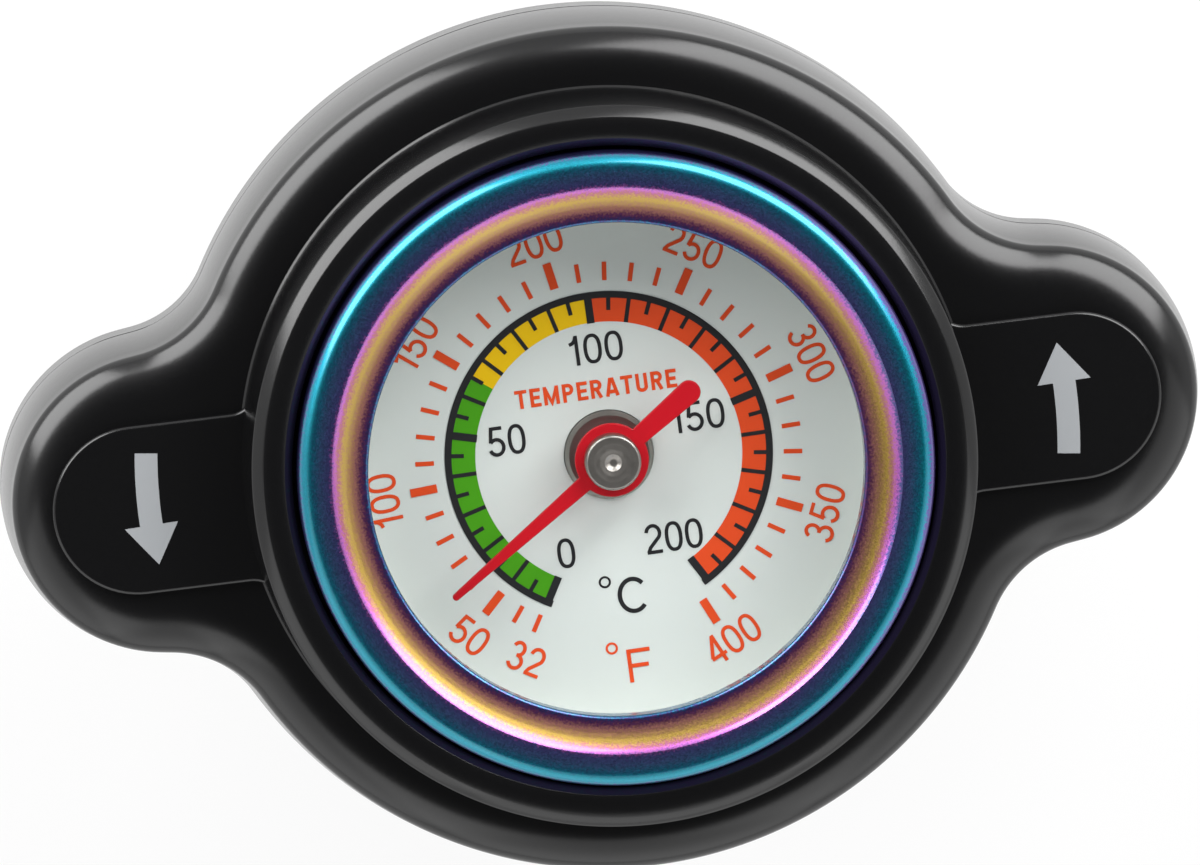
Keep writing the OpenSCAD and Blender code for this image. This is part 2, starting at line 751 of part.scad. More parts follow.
// Collar that joins the coil's free end to the spindle
module coil_hub() {
    color("#8f8d86")
        tube(coil_r + strip_t/2, spindle_r + push_fit, coil_hub_z, coil_hub_z + coil_hub_h);
}

// Inverted cup that hangs on the stem, vented, with its lower edge rolled in to hold the valve plate
module spring_cage() {
    vents = 4;
    color("#c0c2c4")
    difference() {
        translate([0, 0, cage_z]) cylinder(r = cage_r, h = cage_top_z - cage_z);
        translate([0, 0, cage_z + cage_t]) cylinder(r = cage_bore_r, h = spring_top_z - cage_z - cage_t);
        translate([0, 0, cage_z - cut]) cylinder(r = cage_lip_r, h = cage_t + 2*cut);
        translate([0, 0, spring_top_z - cut]) cylinder(r = stem_r + run_fit, h = cage_t + 2*cut);
        for (i = [0:vents - 1])
            rotate(45 + 360/vents*i) translate([cage_bore_r - cut, 0, (catch_z + spring_top_z)/2])
                rotate([0, 90, 0]) cylinder(d = vent_d, h = cage_t + 2*cut);
    }
}

spring_play = 0.05;
spring_z0 = spring_z + spring_wire/2 + spring_play;
spring_z1 = spring_top_z - spring_wire/2 - spring_play;
module main_spring() {
    color("#8a8f94")
        wound(spring_r, spring_z0, spring_z1, spring_turns, round_section(spring_wire));
}
echo(str("main_spring least gap to itself, mm: ",
    least_gap(spring_r, spring_z0, spring_z1, spring_turns, wound_steps, spring_wire)));

// Cup that carries the seal: a floor, a wall through the cage's lip and a flange that the lip holds
module valve_plate() {
    flange_r = cage_bore_r - loose_fit;
    color("#c0c2c4")
    difference() {
        union() {
            translate([0, 0, plate_z]) cylinder(r = cage_r - plate_inset, h = plate_t);
            translate([0, 0, plate_z]) cylinder(r = cup_r, h = catch_z + plate_t - plate_z);
            translate([0, 0, catch_z]) cylinder(r = flange_r, h = plate_t);
        }
        translate([0, 0, spring_z]) cylinder(r = cup_bore_r, h = catch_z);
        translate([0, 0, plate_z - cut]) cylinder(r = seal_bore_r, h = plate_t + 2*cut);
    }
}

module main_seal() {
    edge = 0.3;
    color("#1d1e20")
    rotate_extrude()
        polygon([[seal_bore_r, seal_z], [seal_r - edge, seal_z], [seal_r, seal_z + edge],
            [seal_r, plate_z], [seal_bore_r, plate_z]]);
}

// Flanged tube that clamps the seal to its plate
module seal_eyelet() {
    low = seal_z - eyelet_t;
    high = spring_z + eyelet_t;
    color("#b9b08c") {
        difference() {
            union() {
                translate([0, 0, low]) cylinder(r = eyelet_r, h = high - low);
                translate([0, 0, low]) cylinder(r = eyelet_r + eyelet_flange, h = eyelet_t);
                translate([0, 0, spring_z]) cylinder(r = eyelet_r + eyelet_flange, h = eyelet_t);
            }
            translate([0, 0, low - cut]) cylinder(r = eyelet_r - eyelet_t, h = high - low + 2*cut);
        }
    }
}

// Disc that slides on the stem, with a bead that closes on the seal and a collar that guides it
module vacuum_disc() {
    bore = stem_r + run_fit;
    top = disc_z + disc_t;
    color("#c9b06a")
    rotate_extrude()
        polygon([[bore, disc_z], [disc_r, disc_z], [disc_r, top + bead_h],
            [disc_r - bead_w, top + bead_h],
            [disc_r - bead_w, top], [collar_r, top], [collar_r, disc_z + collar_h],
            [bore, disc_z + collar_h]]);
}

vacuum_z0 = nut_h + vacuum_wire/2 + spring_play;
vacuum_z1 = disc_z - vacuum_wire/2 - spring_play;
module vacuum_spring() {
    color("#a7abb0")
        wound(vacuum_spring_r, vacuum_z0, vacuum_z1, vacuum_turns, round_section(vacuum_wire));
}
echo(str("vacuum_spring least gap to itself, mm: ",
    least_gap(vacuum_spring_r, vacuum_z0, vacuum_z1, vacuum_turns, wound_steps, vacuum_wire)));

cover();
base_plate();
base_screws();
gauge_case();
bezel();
lens();
lens_gasket();
spacer_ring();
dial_plate();
case_gasket();
spindle_bush();
probe_stem();
bimetal_coil();
coil_anchor();
locking_shell();
diaphragm();
neck_gasket();
lock_washer();
lock_nut();
cage_clip();
probe_nut();
pointer();
pointer_boss();
spindle();
coil_hub();
spring_cage();
main_spring();
valve_plate();
main_seal();
seal_eyelet();
vacuum_disc();
vacuum_spring();
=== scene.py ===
import math

import bmesh
import bpy
from mathutils import Matrix, Vector


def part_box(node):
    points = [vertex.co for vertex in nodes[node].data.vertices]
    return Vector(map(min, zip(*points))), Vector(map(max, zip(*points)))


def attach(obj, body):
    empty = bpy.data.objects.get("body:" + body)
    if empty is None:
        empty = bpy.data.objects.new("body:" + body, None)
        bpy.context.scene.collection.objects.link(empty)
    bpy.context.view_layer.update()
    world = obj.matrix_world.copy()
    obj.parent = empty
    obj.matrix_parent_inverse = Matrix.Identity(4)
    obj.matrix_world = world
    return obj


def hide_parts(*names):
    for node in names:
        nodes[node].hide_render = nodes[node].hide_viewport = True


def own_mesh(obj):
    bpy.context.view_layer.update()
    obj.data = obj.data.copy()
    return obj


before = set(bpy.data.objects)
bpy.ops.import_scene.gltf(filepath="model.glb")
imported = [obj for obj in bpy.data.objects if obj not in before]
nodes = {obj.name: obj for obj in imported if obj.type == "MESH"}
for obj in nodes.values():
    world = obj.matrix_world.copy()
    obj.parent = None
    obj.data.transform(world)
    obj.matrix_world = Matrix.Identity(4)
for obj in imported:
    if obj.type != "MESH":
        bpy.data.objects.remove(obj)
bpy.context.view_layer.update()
scene = bpy.context.scene
scene.view_settings.view_transform = "Standard"

# Lengths are in millimetres and become metres where a mesh is made.
MM = 0.001


def low(node):
    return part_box(node)[0].z / MM


def high(node):
    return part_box(node)[1].z / MM


# Cover and base plate
EAR_SPAN = 58.5
BODY_R = 20.95
EAR_R = 7.7
EAR_X = EAR_SPAN / 2 - EAR_R
EAR_FLANK = math.radians(8)
EAR_FILLET = 5.0
SKIRT_H = 9.1
SKIRT_DRAFT = 0.4
SKIRT_STEPS = 8
CROWN_H = 1.25
CROWN_W = 2.2
EAR_CROWN_W = 2.6
CROWN_BLEND_X = 15
CROWN_BLEND_W = 8
CROWN_STEPS = 24
FLANGE_GAP = 0.06
PLINTH_FOOT_R = 17.7
PLINTH_FOOT_EASE = 0.1
PLINTH_TOP_R = 17.42
PLINTH_EDGE = 0.52
PLINTH_EDGE_H = 0.37
EDGE_BREAK = 0.04
WELL_R = 15.5
MOUTH_W = 0.35
CAVITY_R = 19.35
STEM_HOLE_R = 3.15
LEDGE_T = 1.7
PAD_W = 8.2
PAD_H = 0.5
PAD_END = 26.95
PAD_FLARE = 1.3
PAD_ROOT = 0.3
PAD_EDGE = 0.16
PAD_EDGE_STEPS = 6
PAD_TOP_INSET = 0.06
SEAM = 0.12
TONGUE = 1.05
TONGUE_W = 5.6
TONGUE_ROOT = 0.1
TONGUE_INSET = 0.01
SCREW_X = EAR_X + 2.05
SCREW_Y = 3.5
SCREW_R = 1.1
SCREW_HEAD_R = 2.0
SCREW_GAP = 0.05
CUT_PAST = 0.5
RIM_Z = low("base_plate")
PARTING_Z = high("base_plate")
FLANGE_Z = RIM_Z + SKIRT_H
CROWN_Z = FLANGE_Z - CROWN_H
RING_Z = high("cover")
LEDGE_Z = high("locking_shell")
WELL_Z = LEDGE_Z + LEDGE_T

# Turn arrows on the pads, with bearings from the middle of the pad
ARROW_LIFT = 0.015
ARROW_BAR_R = (21.75, 22.85)
ARROW_HEAD_R = (21.0, 23.6)
ARROW_TIP_R = 22.3
ARROW_TAIL = -7
ARROW_NECK = 2
ARROW_TIP = 7
ARROW_STEPS = 16

# Gauge
BEZEL_R = 15.28
BEZEL_T = 0.36
BEZEL_ROUND = 0.66
BEZEL_FLAT = 0.8
BEZEL_EDGE = 0.16
BEZEL_LIP = 0.2
COVE_R = 3.4
COVE_TURN = 24
BRINK_R = 0.65
BRINK_TURN = 46
APERTURE_R = 11.9
CASE_R = 14.6
CASE_FLANGE_T = 0.5
PUSH_FIT = 0.03
LENS_TOP = high("lens")
CREST_Z = high("bezel")
BEZEL_FOOT = low("bezel")
CASE_CATCH = high("gauge_case") - CASE_FLANGE_T - PUSH_FIT

# Dial print: levels over the dial, radii of the two scales, and sizes of marks and figures
DIAL_Z = high("dial_plate")
PRINT_LIFT = 0.02
INK_LIFT = 0.035
BOLD_LIFT = 0.045
STROKE_LIFT = 0.008
BAND_R = (6.45, 7.7)
SCALE_LINE_R = (7.6, 7.93)
SCALE_LINE_PAST = 1.2
FIVES_R = (7.0, 7.6)
TENS_R = (6.45, 7.6)
FIFTIES_R = (6.42, 7.7)
OUTER_TENS_R = (8.45, 9.35)
OUTER_FIFTIES_R = (8.45, 9.75)
FINE_W = 0.2
BOLD_W = 0.37
OUTER_FINE_W = 0.22
OUTER_BOLD_W = 0.41
FIGURE_H = 1.46
FIGURE_SPACE = 0.1
FIGURE_STROKE = 0.12
LEGEND_STROKE = 0.19
MITRE_LIMIT = 0.45
DEGREE_R = (0.19, 0.3)
DEGREE_STEPS = 24

# The dial's own frame is turned a little against the ears
DIAL_TURN = 1.2
CELSIUS_ZERO = 241.2
CELSIUS_STEP = -1.4995
FAHRENHEIT_32 = 240.6
FAHRENHEIT_STEP = -0.8277

# Pointer and its boss
POINTER_REST = 214.8
POINTER_EASE = 0.05
HUB_R = 1.78
NEEDLE_END = 10.15
NEEDLE_TIP_R = 0.17
NEEDLE_HALF_W = 0.39
TAIL_END = 5.5
TAIL_END_R = 0.56
TAIL_HALF_W = 0.44
BOSS_R = 1.35
BOSS_EDGE = 0.16
DIMPLE = ((0.44, 0), (0.38, 0.02), (0.3, 0.1), (0.14, 0.15), (0, 0.15))

# Springs: turns, radius and wire of each
MAIN_TURNS = 5.0
MAIN_R = 6.6
MAIN_WIRE = 1.3
VACUUM_TURNS = 2.5
VACUUM_R = 4.3
VACUUM_WIRE = 0.45


# Colours
def srgb(r, g, b):
    def linear(v):
        v = v / 255
        return v / 12.92 if v <= 0.04045 else ((v + 0.055) / 1.055) ** 2.4
    return (linear(r), linear(g), linear(b), 1.0)


# Colours of the bezel's oxide film, by radius from the opening outwards
FILM = (
    (11.92, (44, 112, 150)),
    (12.05, (64, 58, 120)),
    (12.28, (116, 60, 104)),
    (12.55, (184, 124, 116)),
    (13.1, (198, 166, 78)),
    (13.38, (178, 112, 120)),
    (13.58, (186, 100, 186)),
    (13.8, (76, 72, 132)),
    (14.3, (62, 92, 134)),
    (14.6, (34, 108, 140)),
    (14.85, (14, 132, 150)),
    (15.12, (20, 140, 166)),
    (15.28, (98, 82, 160)))
FILM_SPECK = 0.55
FILM_DRIFT = 0.2
FILM_DRIFT_X = (6, 15)
BUMP_DEPTH = 0.01


# Shader trees
def add(tree, kind, values=None, **settings):
    node = tree.nodes.new(kind)
    for key, value in settings.items():
        setattr(node, key, value)
    for label, value in (values or {}).items():
        node.inputs[label].default_value = value
    return node


def math_node(tree, operation, a, b=None):
    node = add(tree, "ShaderNodeMath", operation=operation)
    for i, v in enumerate((a, b)):
        if v is None:
            continue
        if isinstance(v, (int, float)):
            node.inputs[i].default_value = v
        else:
            tree.links.new(v, node.inputs[i])
    return node.outputs[0]


def shader_group(name, ins, outs):
    tree = bpy.data.node_groups.new(name, "ShaderNodeTree")
    for label, value in ins.items():
        socket = tree.interface.new_socket(label, in_out="INPUT", socket_type="NodeSocketFloat")
        socket.default_value = value
    for label in outs:
        tree.interface.new_socket(label, in_out="OUTPUT", socket_type="NodeSocketFloat")
    return tree, tree.nodes.new("NodeGroupInput"), tree.nodes.new("NodeGroupOutput")


# Moulding grain: a fine speckle that breaks up a gloss
def make_grain():
    ins = {"Scale": 9000.0, "Plain": 0.2, "Spread": 0.05}
    tree, into, out = shader_group("moulding_grain", ins, ("Roughness", "Height"))
    place = add(tree, "ShaderNodeTexCoord")
    noise = add(tree, "ShaderNodeTexNoise", {"Detail": 3.0})
    tree.links.new(place.outputs["Object"], noise.inputs["Vector"])
    tree.links.new(into.outputs["Scale"], noise.inputs["Scale"])
    swing = math_node(tree, "SUBTRACT", noise.outputs["Fac"], 0.5)
    swing = math_node(tree, "MULTIPLY", swing, into.outputs["Spread"])
    tree.links.new(math_node(tree, "ADD", swing, into.outputs["Plain"]), out.inputs["Roughness"])
    tree.links.new(noise.outputs["Fac"], out.inputs["Height"])
    return tree


# Lathe rings: height that changes with the distance from the cap's axis, and that distance
def make_rings():
    tree, into, out = shader_group("lathe_rings", {"Pitch": 0.0001, "Wander": 0.3}, ("Height", "Radius"))
    place = add(tree, "ShaderNodeTexCoord")
    apart = add(tree, "ShaderNodeSeparateXYZ")
    tree.links.new(place.outputs["Object"], apart.inputs[0])
    x2 = math_node(tree, "MULTIPLY", apart.outputs["X"], apart.outputs["X"])
    y2 = math_node(tree, "MULTIPLY", apart.outputs["Y"], apart.outputs["Y"])
    radius = math_node(tree, "SQRT", math_node(tree, "ADD", x2, y2))
    noise = add(tree, "ShaderNodeTexNoise", {"Scale": 1500.0})
    tree.links.new(place.outputs["Object"], noise.inputs["Vector"])
    turns = math_node(tree, "DIVIDE", radius, into.outputs["Pitch"])
    stray = math_node(tree, "MULTIPLY", noise.outputs["Fac"], into.outputs["Wander"])
    wave = math_node(tree, "SINE", math_node(tree, "ADD", turns, stray))
    tree.links.new(wave, out.inputs["Height"])
    tree.links.new(radius, out.inputs["Radius"])
    return tree


GRAIN = make_grain()
RINGS = make_rings()


# Materials
def finish(name, colour, **sockets):
    material = bpy.data.materials.new(name)
    material.use_nodes = True
    shader = material.node_tree.nodes["Principled BSDF"]
    shader.inputs["Base Color"].default_value = colour
    for key, value in sockets.items():
        shader.inputs[key.replace("_", " ")].default_value = value
    material.diffuse_color = colour
    return material, material.node_tree, shader


def bumped(tree, shader, height, strength):
    bump = add(tree, "ShaderNodeBump", {"Strength": strength, "Distance": BUMP_DEPTH * MM})
    tree.links.new(height, bump.inputs["Height"])
    tree.links.new(bump.outputs["Normal"], shader.inputs["Normal"])


def grained(tree, shader, rough, spread, scale, bump=0.0):
    values = {"Scale": scale, "Plain": rough, "Spread": spread}
    group = add(tree, "ShaderNodeGroup", values, node_tree=GRAIN)
    tree.links.new(group.outputs["Roughness"], shader.inputs["Roughness"])
    if bump:
        bumped(tree, shader, group.outputs["Height"], bump)


def turned(tree, shader, pitch, wander, bump):
    group = add(tree, "ShaderNodeGroup", {"Pitch": pitch * MM, "Wander": wander}, node_tree=RINGS)
    bumped(tree, shader, group.outputs["Height"], bump)
    return group


def gloss_black():
    material, tree, shader = finish("gloss_black", (0.003, 0.003, 0.0033, 1), Specular_IOR_Level=0.6)
    grained(tree, shader, rough=0.2, spread=0.08, scale=7000.0, bump=0.1)
    return material


# The bands of the oxide film follow the radius; a fine speckle breaks up their edges
def rainbow_metal():
    material, tree, shader = finish(
        "rainbow_metal", srgb(90, 80, 150), Metallic=1.0, Coat_Weight=0.9, Coat_Roughness=0.14)
    grained(tree, shader, rough=0.37, spread=0.3, scale=14000.0)
    group = turned(tree, shader, pitch=0.04, wander=1.5, bump=0.05)
    place = add(tree, "ShaderNodeTexCoord")
    speck = add(tree, "ShaderNodeTexNoise", {"Scale": 9000.0, "Detail": 2.0})
    tree.links.new(place.outputs["Object"], speck.inputs["Vector"])
    swing = math_node(tree, "SUBTRACT", speck.outputs["Fac"], 0.5)
    shift = math_node(tree, "MULTIPLY", swing, FILM_SPECK * MM)
    # The film is a little further on along the right side
    apart = add(tree, "ShaderNodeSeparateXYZ")
    tree.links.new(place.outputs["Object"], apart.inputs[0])
    ends = {"From Min": FILM_DRIFT_X[0] * MM, "From Max": FILM_DRIFT_X[1] * MM, "To Max": FILM_DRIFT * MM}
    drift = add(tree, "ShaderNodeMapRange", ends, interpolation_type="SMOOTHSTEP")
    tree.links.new(apart.outputs["X"], drift.inputs["Value"])
    at = math_node(tree, "ADD", group.outputs["Radius"], shift)
    at = math_node(tree, "ADD", at, drift.outputs["Result"])
    span = add(tree, "ShaderNodeMapRange", {"From Min": APERTURE_R * MM, "From Max": BEZEL_R * MM})
    tree.links.new(at, span.inputs["Value"])
    ramp = add(tree, "ShaderNodeValToRGB")
    tree.links.new(span.outputs["Result"], ramp.inputs["Fac"])
    stops = ramp.color_ramp.elements
    stops.remove(stops[0])
    for i, (radius, colour) in enumerate(FILM):
        share = (radius - APERTURE_R) / (BEZEL_R - APERTURE_R)
        stop = stops[0] if i == 0 else stops.new(share)
        stop.position = share
        stop.color = srgb(*colour)
    tree.links.new(ramp.outputs["Color"], shader.inputs["Base Color"])
    return material


def clear_glass():
    material = finish("glass", (0.02, 0.024, 0.023, 1), Roughness=0.03, Alpha=0.04)[0]
    material.surface_render_method = "BLENDED"
    return material


def turned_steel():
    material, tree, shader = finish("turned_steel", srgb(156, 152, 147), Metallic=1.0)
    grained(tree, shader, rough=0.36, spread=0.1, scale=4000.0)
    turned(tree, shader, pitch=0.05, wander=2.5, bump=0.2)
    return material


def plain(name, colour, rough, metal=0.0, spread=0.04, scale=1500.0, bump=0.0):
    material, tree, shader = finish(name, colour, Metallic=metal)
    grained(tree, shader, rough, spread, scale, bump)
    return material


# Printing ink and the dial's own paint: matt, with little shine of their own
def ink(name, colour, shine=0.12, rough=0.55):
    material, tree, shader = finish(name, colour, Specular_IOR_Level=shine)
    grained(tree, shader, rough, spread=0.04, scale=4000.0)
    return material


GLOSS_BLACK = gloss_black()
RAINBOW = rainbow_metal()
GLASS = clear_glass()
TURNED_STEEL = turned_steel()
POINTER_RED = ink("pointer_red", srgb(182, 3, 24), shine=0.25, rough=0.4)
DIAL_WHITE = ink("dial_white", srgb(214, 221, 217))
PRESSED_STEEL = plain("pressed_steel", srgb(196, 198, 200), rough=0.32, metal=1.0, spread=0.06)
SPRING_STEEL = plain("spring_steel", srgb(176, 180, 184), rough=0.25, metal=1.0)
BRASS = plain("brass", srgb(204, 178, 112), rough=0.27, metal=1.0)
BIMETAL = plain("bimetal", srgb(190, 150, 96), rough=0.35, metal=1.0)
BLACK_RUBBER = plain("black_rubber", srgb(34, 34, 36), rough=0.6, spread=0.12, scale=2500.0, bump=0.2)
SPACER = plain("spacer_plastic", srgb(206, 212, 208), rough=0.45, spread=0.02)
DARK_SCREW = plain("dark_screw", srgb(70, 71, 74), rough=0.35, metal=1.0)
PRINT_GREEN = ink("print_green", srgb(72, 158, 20))
PRINT_YELLOW = ink("print_yellow", srgb(240, 196, 12))
PRINT_RED = ink("print_orange_red", srgb(226, 78, 34))
PRINT_BLACK = ink("print_black", srgb(38, 38, 40))
PRINT_SILVER = plain("print_silver", srgb(158, 161, 164), rough=0.45, metal=0.3, spread=0.1, scale=9000.0)


# Meshes
def piece(name, points, faces, material, smooth=0, weld=False):
    mesh = bpy.data.meshes.new(name)
    mesh.from_pydata([tuple(c * MM for c in p) for p in points], [], faces)
    shape = bmesh.new()
    shape.from_mesh(mesh)
    if weld:
        bmesh.ops.remove_doubles(shape, verts=shape.verts, dist=1e-7)
        bmesh.ops.recalc_face_normals(shape, faces=shape.faces)
    shape.to_mesh(mesh)
    shape.free()
    return from_mesh(name, mesh, material, smooth)


# Edges sharper than the smooth angle stay sharp; 0 leaves the whole mesh flat
def from_mesh(name, mesh, material, smooth=0):
    mesh.materials.clear()
    mesh.materials.append(material)
    if smooth:
        mesh.shade_smooth()
        mesh.set_sharp_from_angle(angle=math.radians(smooth))
    obj = bpy.data.objects.new(name, mesh)
    scene.collection.objects.link(obj)
    return obj


def evaluated_mesh(obj):
    bpy.context.view_layer.update()
    return bpy.data.meshes.new_from_object(obj.evaluated_get(bpy.context.evaluated_depsgraph_get()))


def arc(centre, r, a0, a1, n):
    found = []
    for i in range(n + 1):
        a = math.radians(a0 + (a1 - a0) * i / n)
        found.append((centre[0] + r * math.cos(a), centre[1] + r * math.sin(a)))
    return found


def at_level(flat, z):
    return [(x, y, z) for x, y in flat]


# Rings of equal count joined one after the other, ending in caps or running back to the first
def stack(rings, closed=False):
    m = len(rings[0])
    points = [p for ring in rings for p in ring]
    faces = []
    for i in range(len(rings) if closed else len(rings) - 1):
        for j in range(m):
            a, b = i * m, ((i + 1) % len(rings)) * m
            faces.append((a + j, a + (j + 1) % m, b + (j + 1) % m, b + j))
    if not closed:
        faces.append(tuple(reversed(range(m))))
        faces.append(tuple((len(rings) - 1) * m + j for j in range(m)))
    return points, faces


# A flat strip between two lines of equal count
def strip(inner, outer):
    n = len(inner)
    return inner + outer, [(i, n + i, n + i + 1, i + 1) for i in range(n - 1)]


def join(points, faces, more_points, more_faces):
    start = len(points)
    points += more_points
    faces += [tuple(start + i for i in face) for face in more_faces]


# Outline of the two-eared body, drawn in by a margin: ear tips, flanks, hollow blends and body
def outline(margin, tip_n=30, blend_n=18, body_n=44):
    big, tip, blend = BODY_R - margin, EAR_R - margin, EAR_FILLET + margin
    nx, ny = math.sin(EAR_FLANK), math.cos(EAR_FLANK)
    k = nx * EAR_X + tip + blend
    s = math.sqrt((big + blend) ** 2 - k ** 2)
    f = (nx * k + ny * s, ny * k - nx * s)
    turn = math.degrees(math.atan2(f[1], f[0]))
    flank = math.degrees(EAR_FLANK)
    quarter = arc((EAR_X, 0), tip, 0, 90 - flank, tip_n)
    quarter += arc(f, blend, -90 - flank, turn - 180, blend_n)
    quarter += arc((0, 0), big, turn, 90, body_n)[1:]
    half = quarter + [(-x, y) for x, y in reversed(quarter[:-1])]
    return half + [(x, -y) for x, y in reversed(half[1:-1])]


# The crown's round is broader over the ears than along the body
def crown_ring(share, inset, z):
    body = outline(SKIRT_DRAFT + CROWN_W * share + inset)
    ears = outline(SKIRT_DRAFT + EAR_CROWN_W * share + inset)
    found = []
    for (bx, by), (ex, ey), (x, y) in zip(body, ears, outline(0)):
        t = min(1.0, max(0.0, (abs(x) - CROWN_BLEND_X) / CROWN_BLEND_W))
        t = t * t * (3 - 2 * t)
        found.append((bx + (ex - bx) * t, by + (ey - by) * t, z))
    return found


# Round rings share the bearings of the flange's edge, so that the flange stays inside the crown
BEARINGS = [math.atan2(y, x) for x, y, z in crown_ring(1, FLANGE_GAP, 0)]


def round_ring(r, z):
    return [(r * math.cos(a), r * math.sin(a), z) for a in BEARINGS]


def eared_ring(margin, z):
    return at_level(outline(margin), z)


# A pad's outline: a round end, straight sides and a flared root inside the plinth
def pad_ring(inset, z):
    wide = PAD_W / 2 + PAD_FLARE
    root = math.sqrt(PLINTH_FOOT_R ** 2 - wide ** 2) - PAD_ROOT
    centre = root + PAD_FLARE
    flare = PAD_FLARE + inset
    flat = [(root - PAD_FLARE, -wide)]
    flat += arc((centre, -wide), flare, 180, 90, 10)
    flat += arc((PAD_END - PAD_W / 2, 0), PAD_W / 2 - inset, -90, 90, 36)
    flat += arc((centre, wide), flare, 270, 180, 10)
    flat += [(root - PAD_FLARE, wide)]
    return at_level(flat, z)


def pad_rings():
    top = FLANGE_Z + PAD_H
    rings = [pad_ring(0, FLANGE_Z - PAD_ROOT)]
    for i in range(PAD_EDGE_STEPS + 1):
        a = math.pi / 2 * i / PAD_EDGE_STEPS
        rings.append(pad_ring(PAD_EDGE * (1 - math.cos(a)), top - PAD_EDGE * (1 - math.sin(a))))
    return rings + [pad_ring(PAD_EDGE + PAD_TOP_INSET, top)]


def build_cover():
    foot = PARTING_Z + SEAM
    rings = [round_ring(CAVITY_R, PARTING_Z), eared_ring(SEAM, PARTING_Z), eared_ring(0, foot)]
    for i in range(1, SKIRT_STEPS):
        share = i / SKIRT_STEPS
        rings.append(eared_ring(SKIRT_DRAFT * share ** 2, foot + (CROWN_Z - foot) * share))
    for i in range(CROWN_STEPS + 1):
        a = math.pi / 2 * i / CROWN_STEPS
        rings.append(crown_ring(1 - math.cos(a), 0, CROWN_Z + CROWN_H * math.sin(a)))
    rings.append(crown_ring(1, FLANGE_GAP, FLANGE_Z))
    # The chamfer's two edges are broken by a small round each, as a deburred edge is
    lean = EDGE_BREAK * PLINTH_EDGE / PLINTH_EDGE_H
    chamfer_z = RING_Z - PLINTH_EDGE_H
    chamfer_r = PLINTH_TOP_R - PLINTH_EDGE
    mouth = WELL_R + MOUTH_W
    profile = [
        (PLINTH_FOOT_R + PLINTH_FOOT_EASE, FLANGE_Z), (PLINTH_FOOT_R, FLANGE_Z + PLINTH_FOOT_EASE),
        (PLINTH_TOP_R + EDGE_BREAK / 4, chamfer_z - EDGE_BREAK),
        (PLINTH_TOP_R - lean, chamfer_z + EDGE_BREAK),
        (chamfer_r + lean, RING_Z - EDGE_BREAK), (chamfer_r - EDGE_BREAK, RING_Z),
        (mouth + EDGE_BREAK, RING_Z), (mouth - EDGE_BREAK, RING_Z - EDGE_BREAK), (WELL_R, RING_Z - MOUTH_W),
        (WELL_R, WELL_Z), (STEM_HOLE_R, WELL_Z), (STEM_HOLE_R, LEDGE_Z), (CAVITY_R, LEDGE_Z)]
    rings += [round_ring(r, z) for r, z in profile]
    points, faces = stack(rings, closed=True)
    for side in (1, -1):
        pad = [[(side * x, side * y, z) for x, y, z in ring] for ring in pad_rings()]
        join(points, faces, *stack(pad))
    cover = piece("cover_skin", points, faces, GLOSS_BLACK, smooth=32)
    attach(cover, "cap")
    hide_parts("cover")


def screw_holes():
    points, faces = [], []
    head, hole = SCREW_HEAD_R + SCREW_GAP, SCREW_R + SCREW_GAP
    levels = [
        (head, RIM_Z - CUT_PAST), (head, RIM_Z), (hole, RIM_Z + head - hole), (hole, PARTING_Z + CUT_PAST)]
    for x in (SCREW_X, -SCREW_X):
        for y in (SCREW_Y, -SCREW_Y):
            rings = [at_level(arc((x, y), r, 0, 360, 48)[:-1], z) for r, z in levels]
            join(points, faces, *stack(rings))
    return piece("screw_holes", points, faces, GLOSS_BLACK)


# The plate's two tongues key into slots of the locking shell
def tongues():
    points, faces = [], []
    for end in (1, -1):
        near, far = end * (CAVITY_R - TONGUE), end * (CAVITY_R + TONGUE_ROOT)
        side = end * TONGUE_W / 2
        flat = [(near, -side), (far, -side), (far, side), (near, side)]
        levels = (RIM_Z + TONGUE_INSET, PARTING_Z - TONGUE_INSET)
        join(points, faces, *stack([at_level(flat, z) for z in levels]))
    return points, faces


def build_base_plate():
    rings = [
        round_ring(CAVITY_R, RIM_Z), eared_ring(SEAM, RIM_Z), eared_ring(0, RIM_Z + SEAM),
        eared_ring(0, PARTING_Z - SEAM), eared_ring(SEAM, PARTING_Z), round_ring(CAVITY_R, PARTING_Z)]
    blank = piece("base_plate_blank", *stack(rings, closed=True), GLOSS_BLACK)
    cutter = screw_holes()
    cut = blank.modifiers.new("screw_holes", "BOOLEAN")
    cut.operation = "DIFFERENCE"
    cut.solver = "EXACT"
    cut.object = cutter
    mesh = evaluated_mesh(blank)
    bpy.data.objects.remove(blank)
    bpy.data.objects.remove(cutter)
    shape = bmesh.new()
    shape.from_mesh(mesh)
    points, faces = tongues()
    made = [shape.verts.new([c * MM for c in p]) for p in points]
    for face in faces:
        shape.faces.new([made[i] for i in face])
    shape.to_mesh(mesh)
    shape.free()
    plate = from_mesh("base_plate_skin", mesh, GLOSS_BLACK, smooth=32)
    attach(plate, "cap")
    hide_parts("base_plate")


def turned_piece(name, profile, material, steps, smooth):
    rings = []
    for i in range(steps):
        a = 2 * math.pi * i / steps
        rings.append([(r * math.cos(a), r * math.sin(a), z) for r, z in profile])
    points, faces = stack(rings, closed=True)
    return piece(name, points, faces, material, smooth, weld=True)


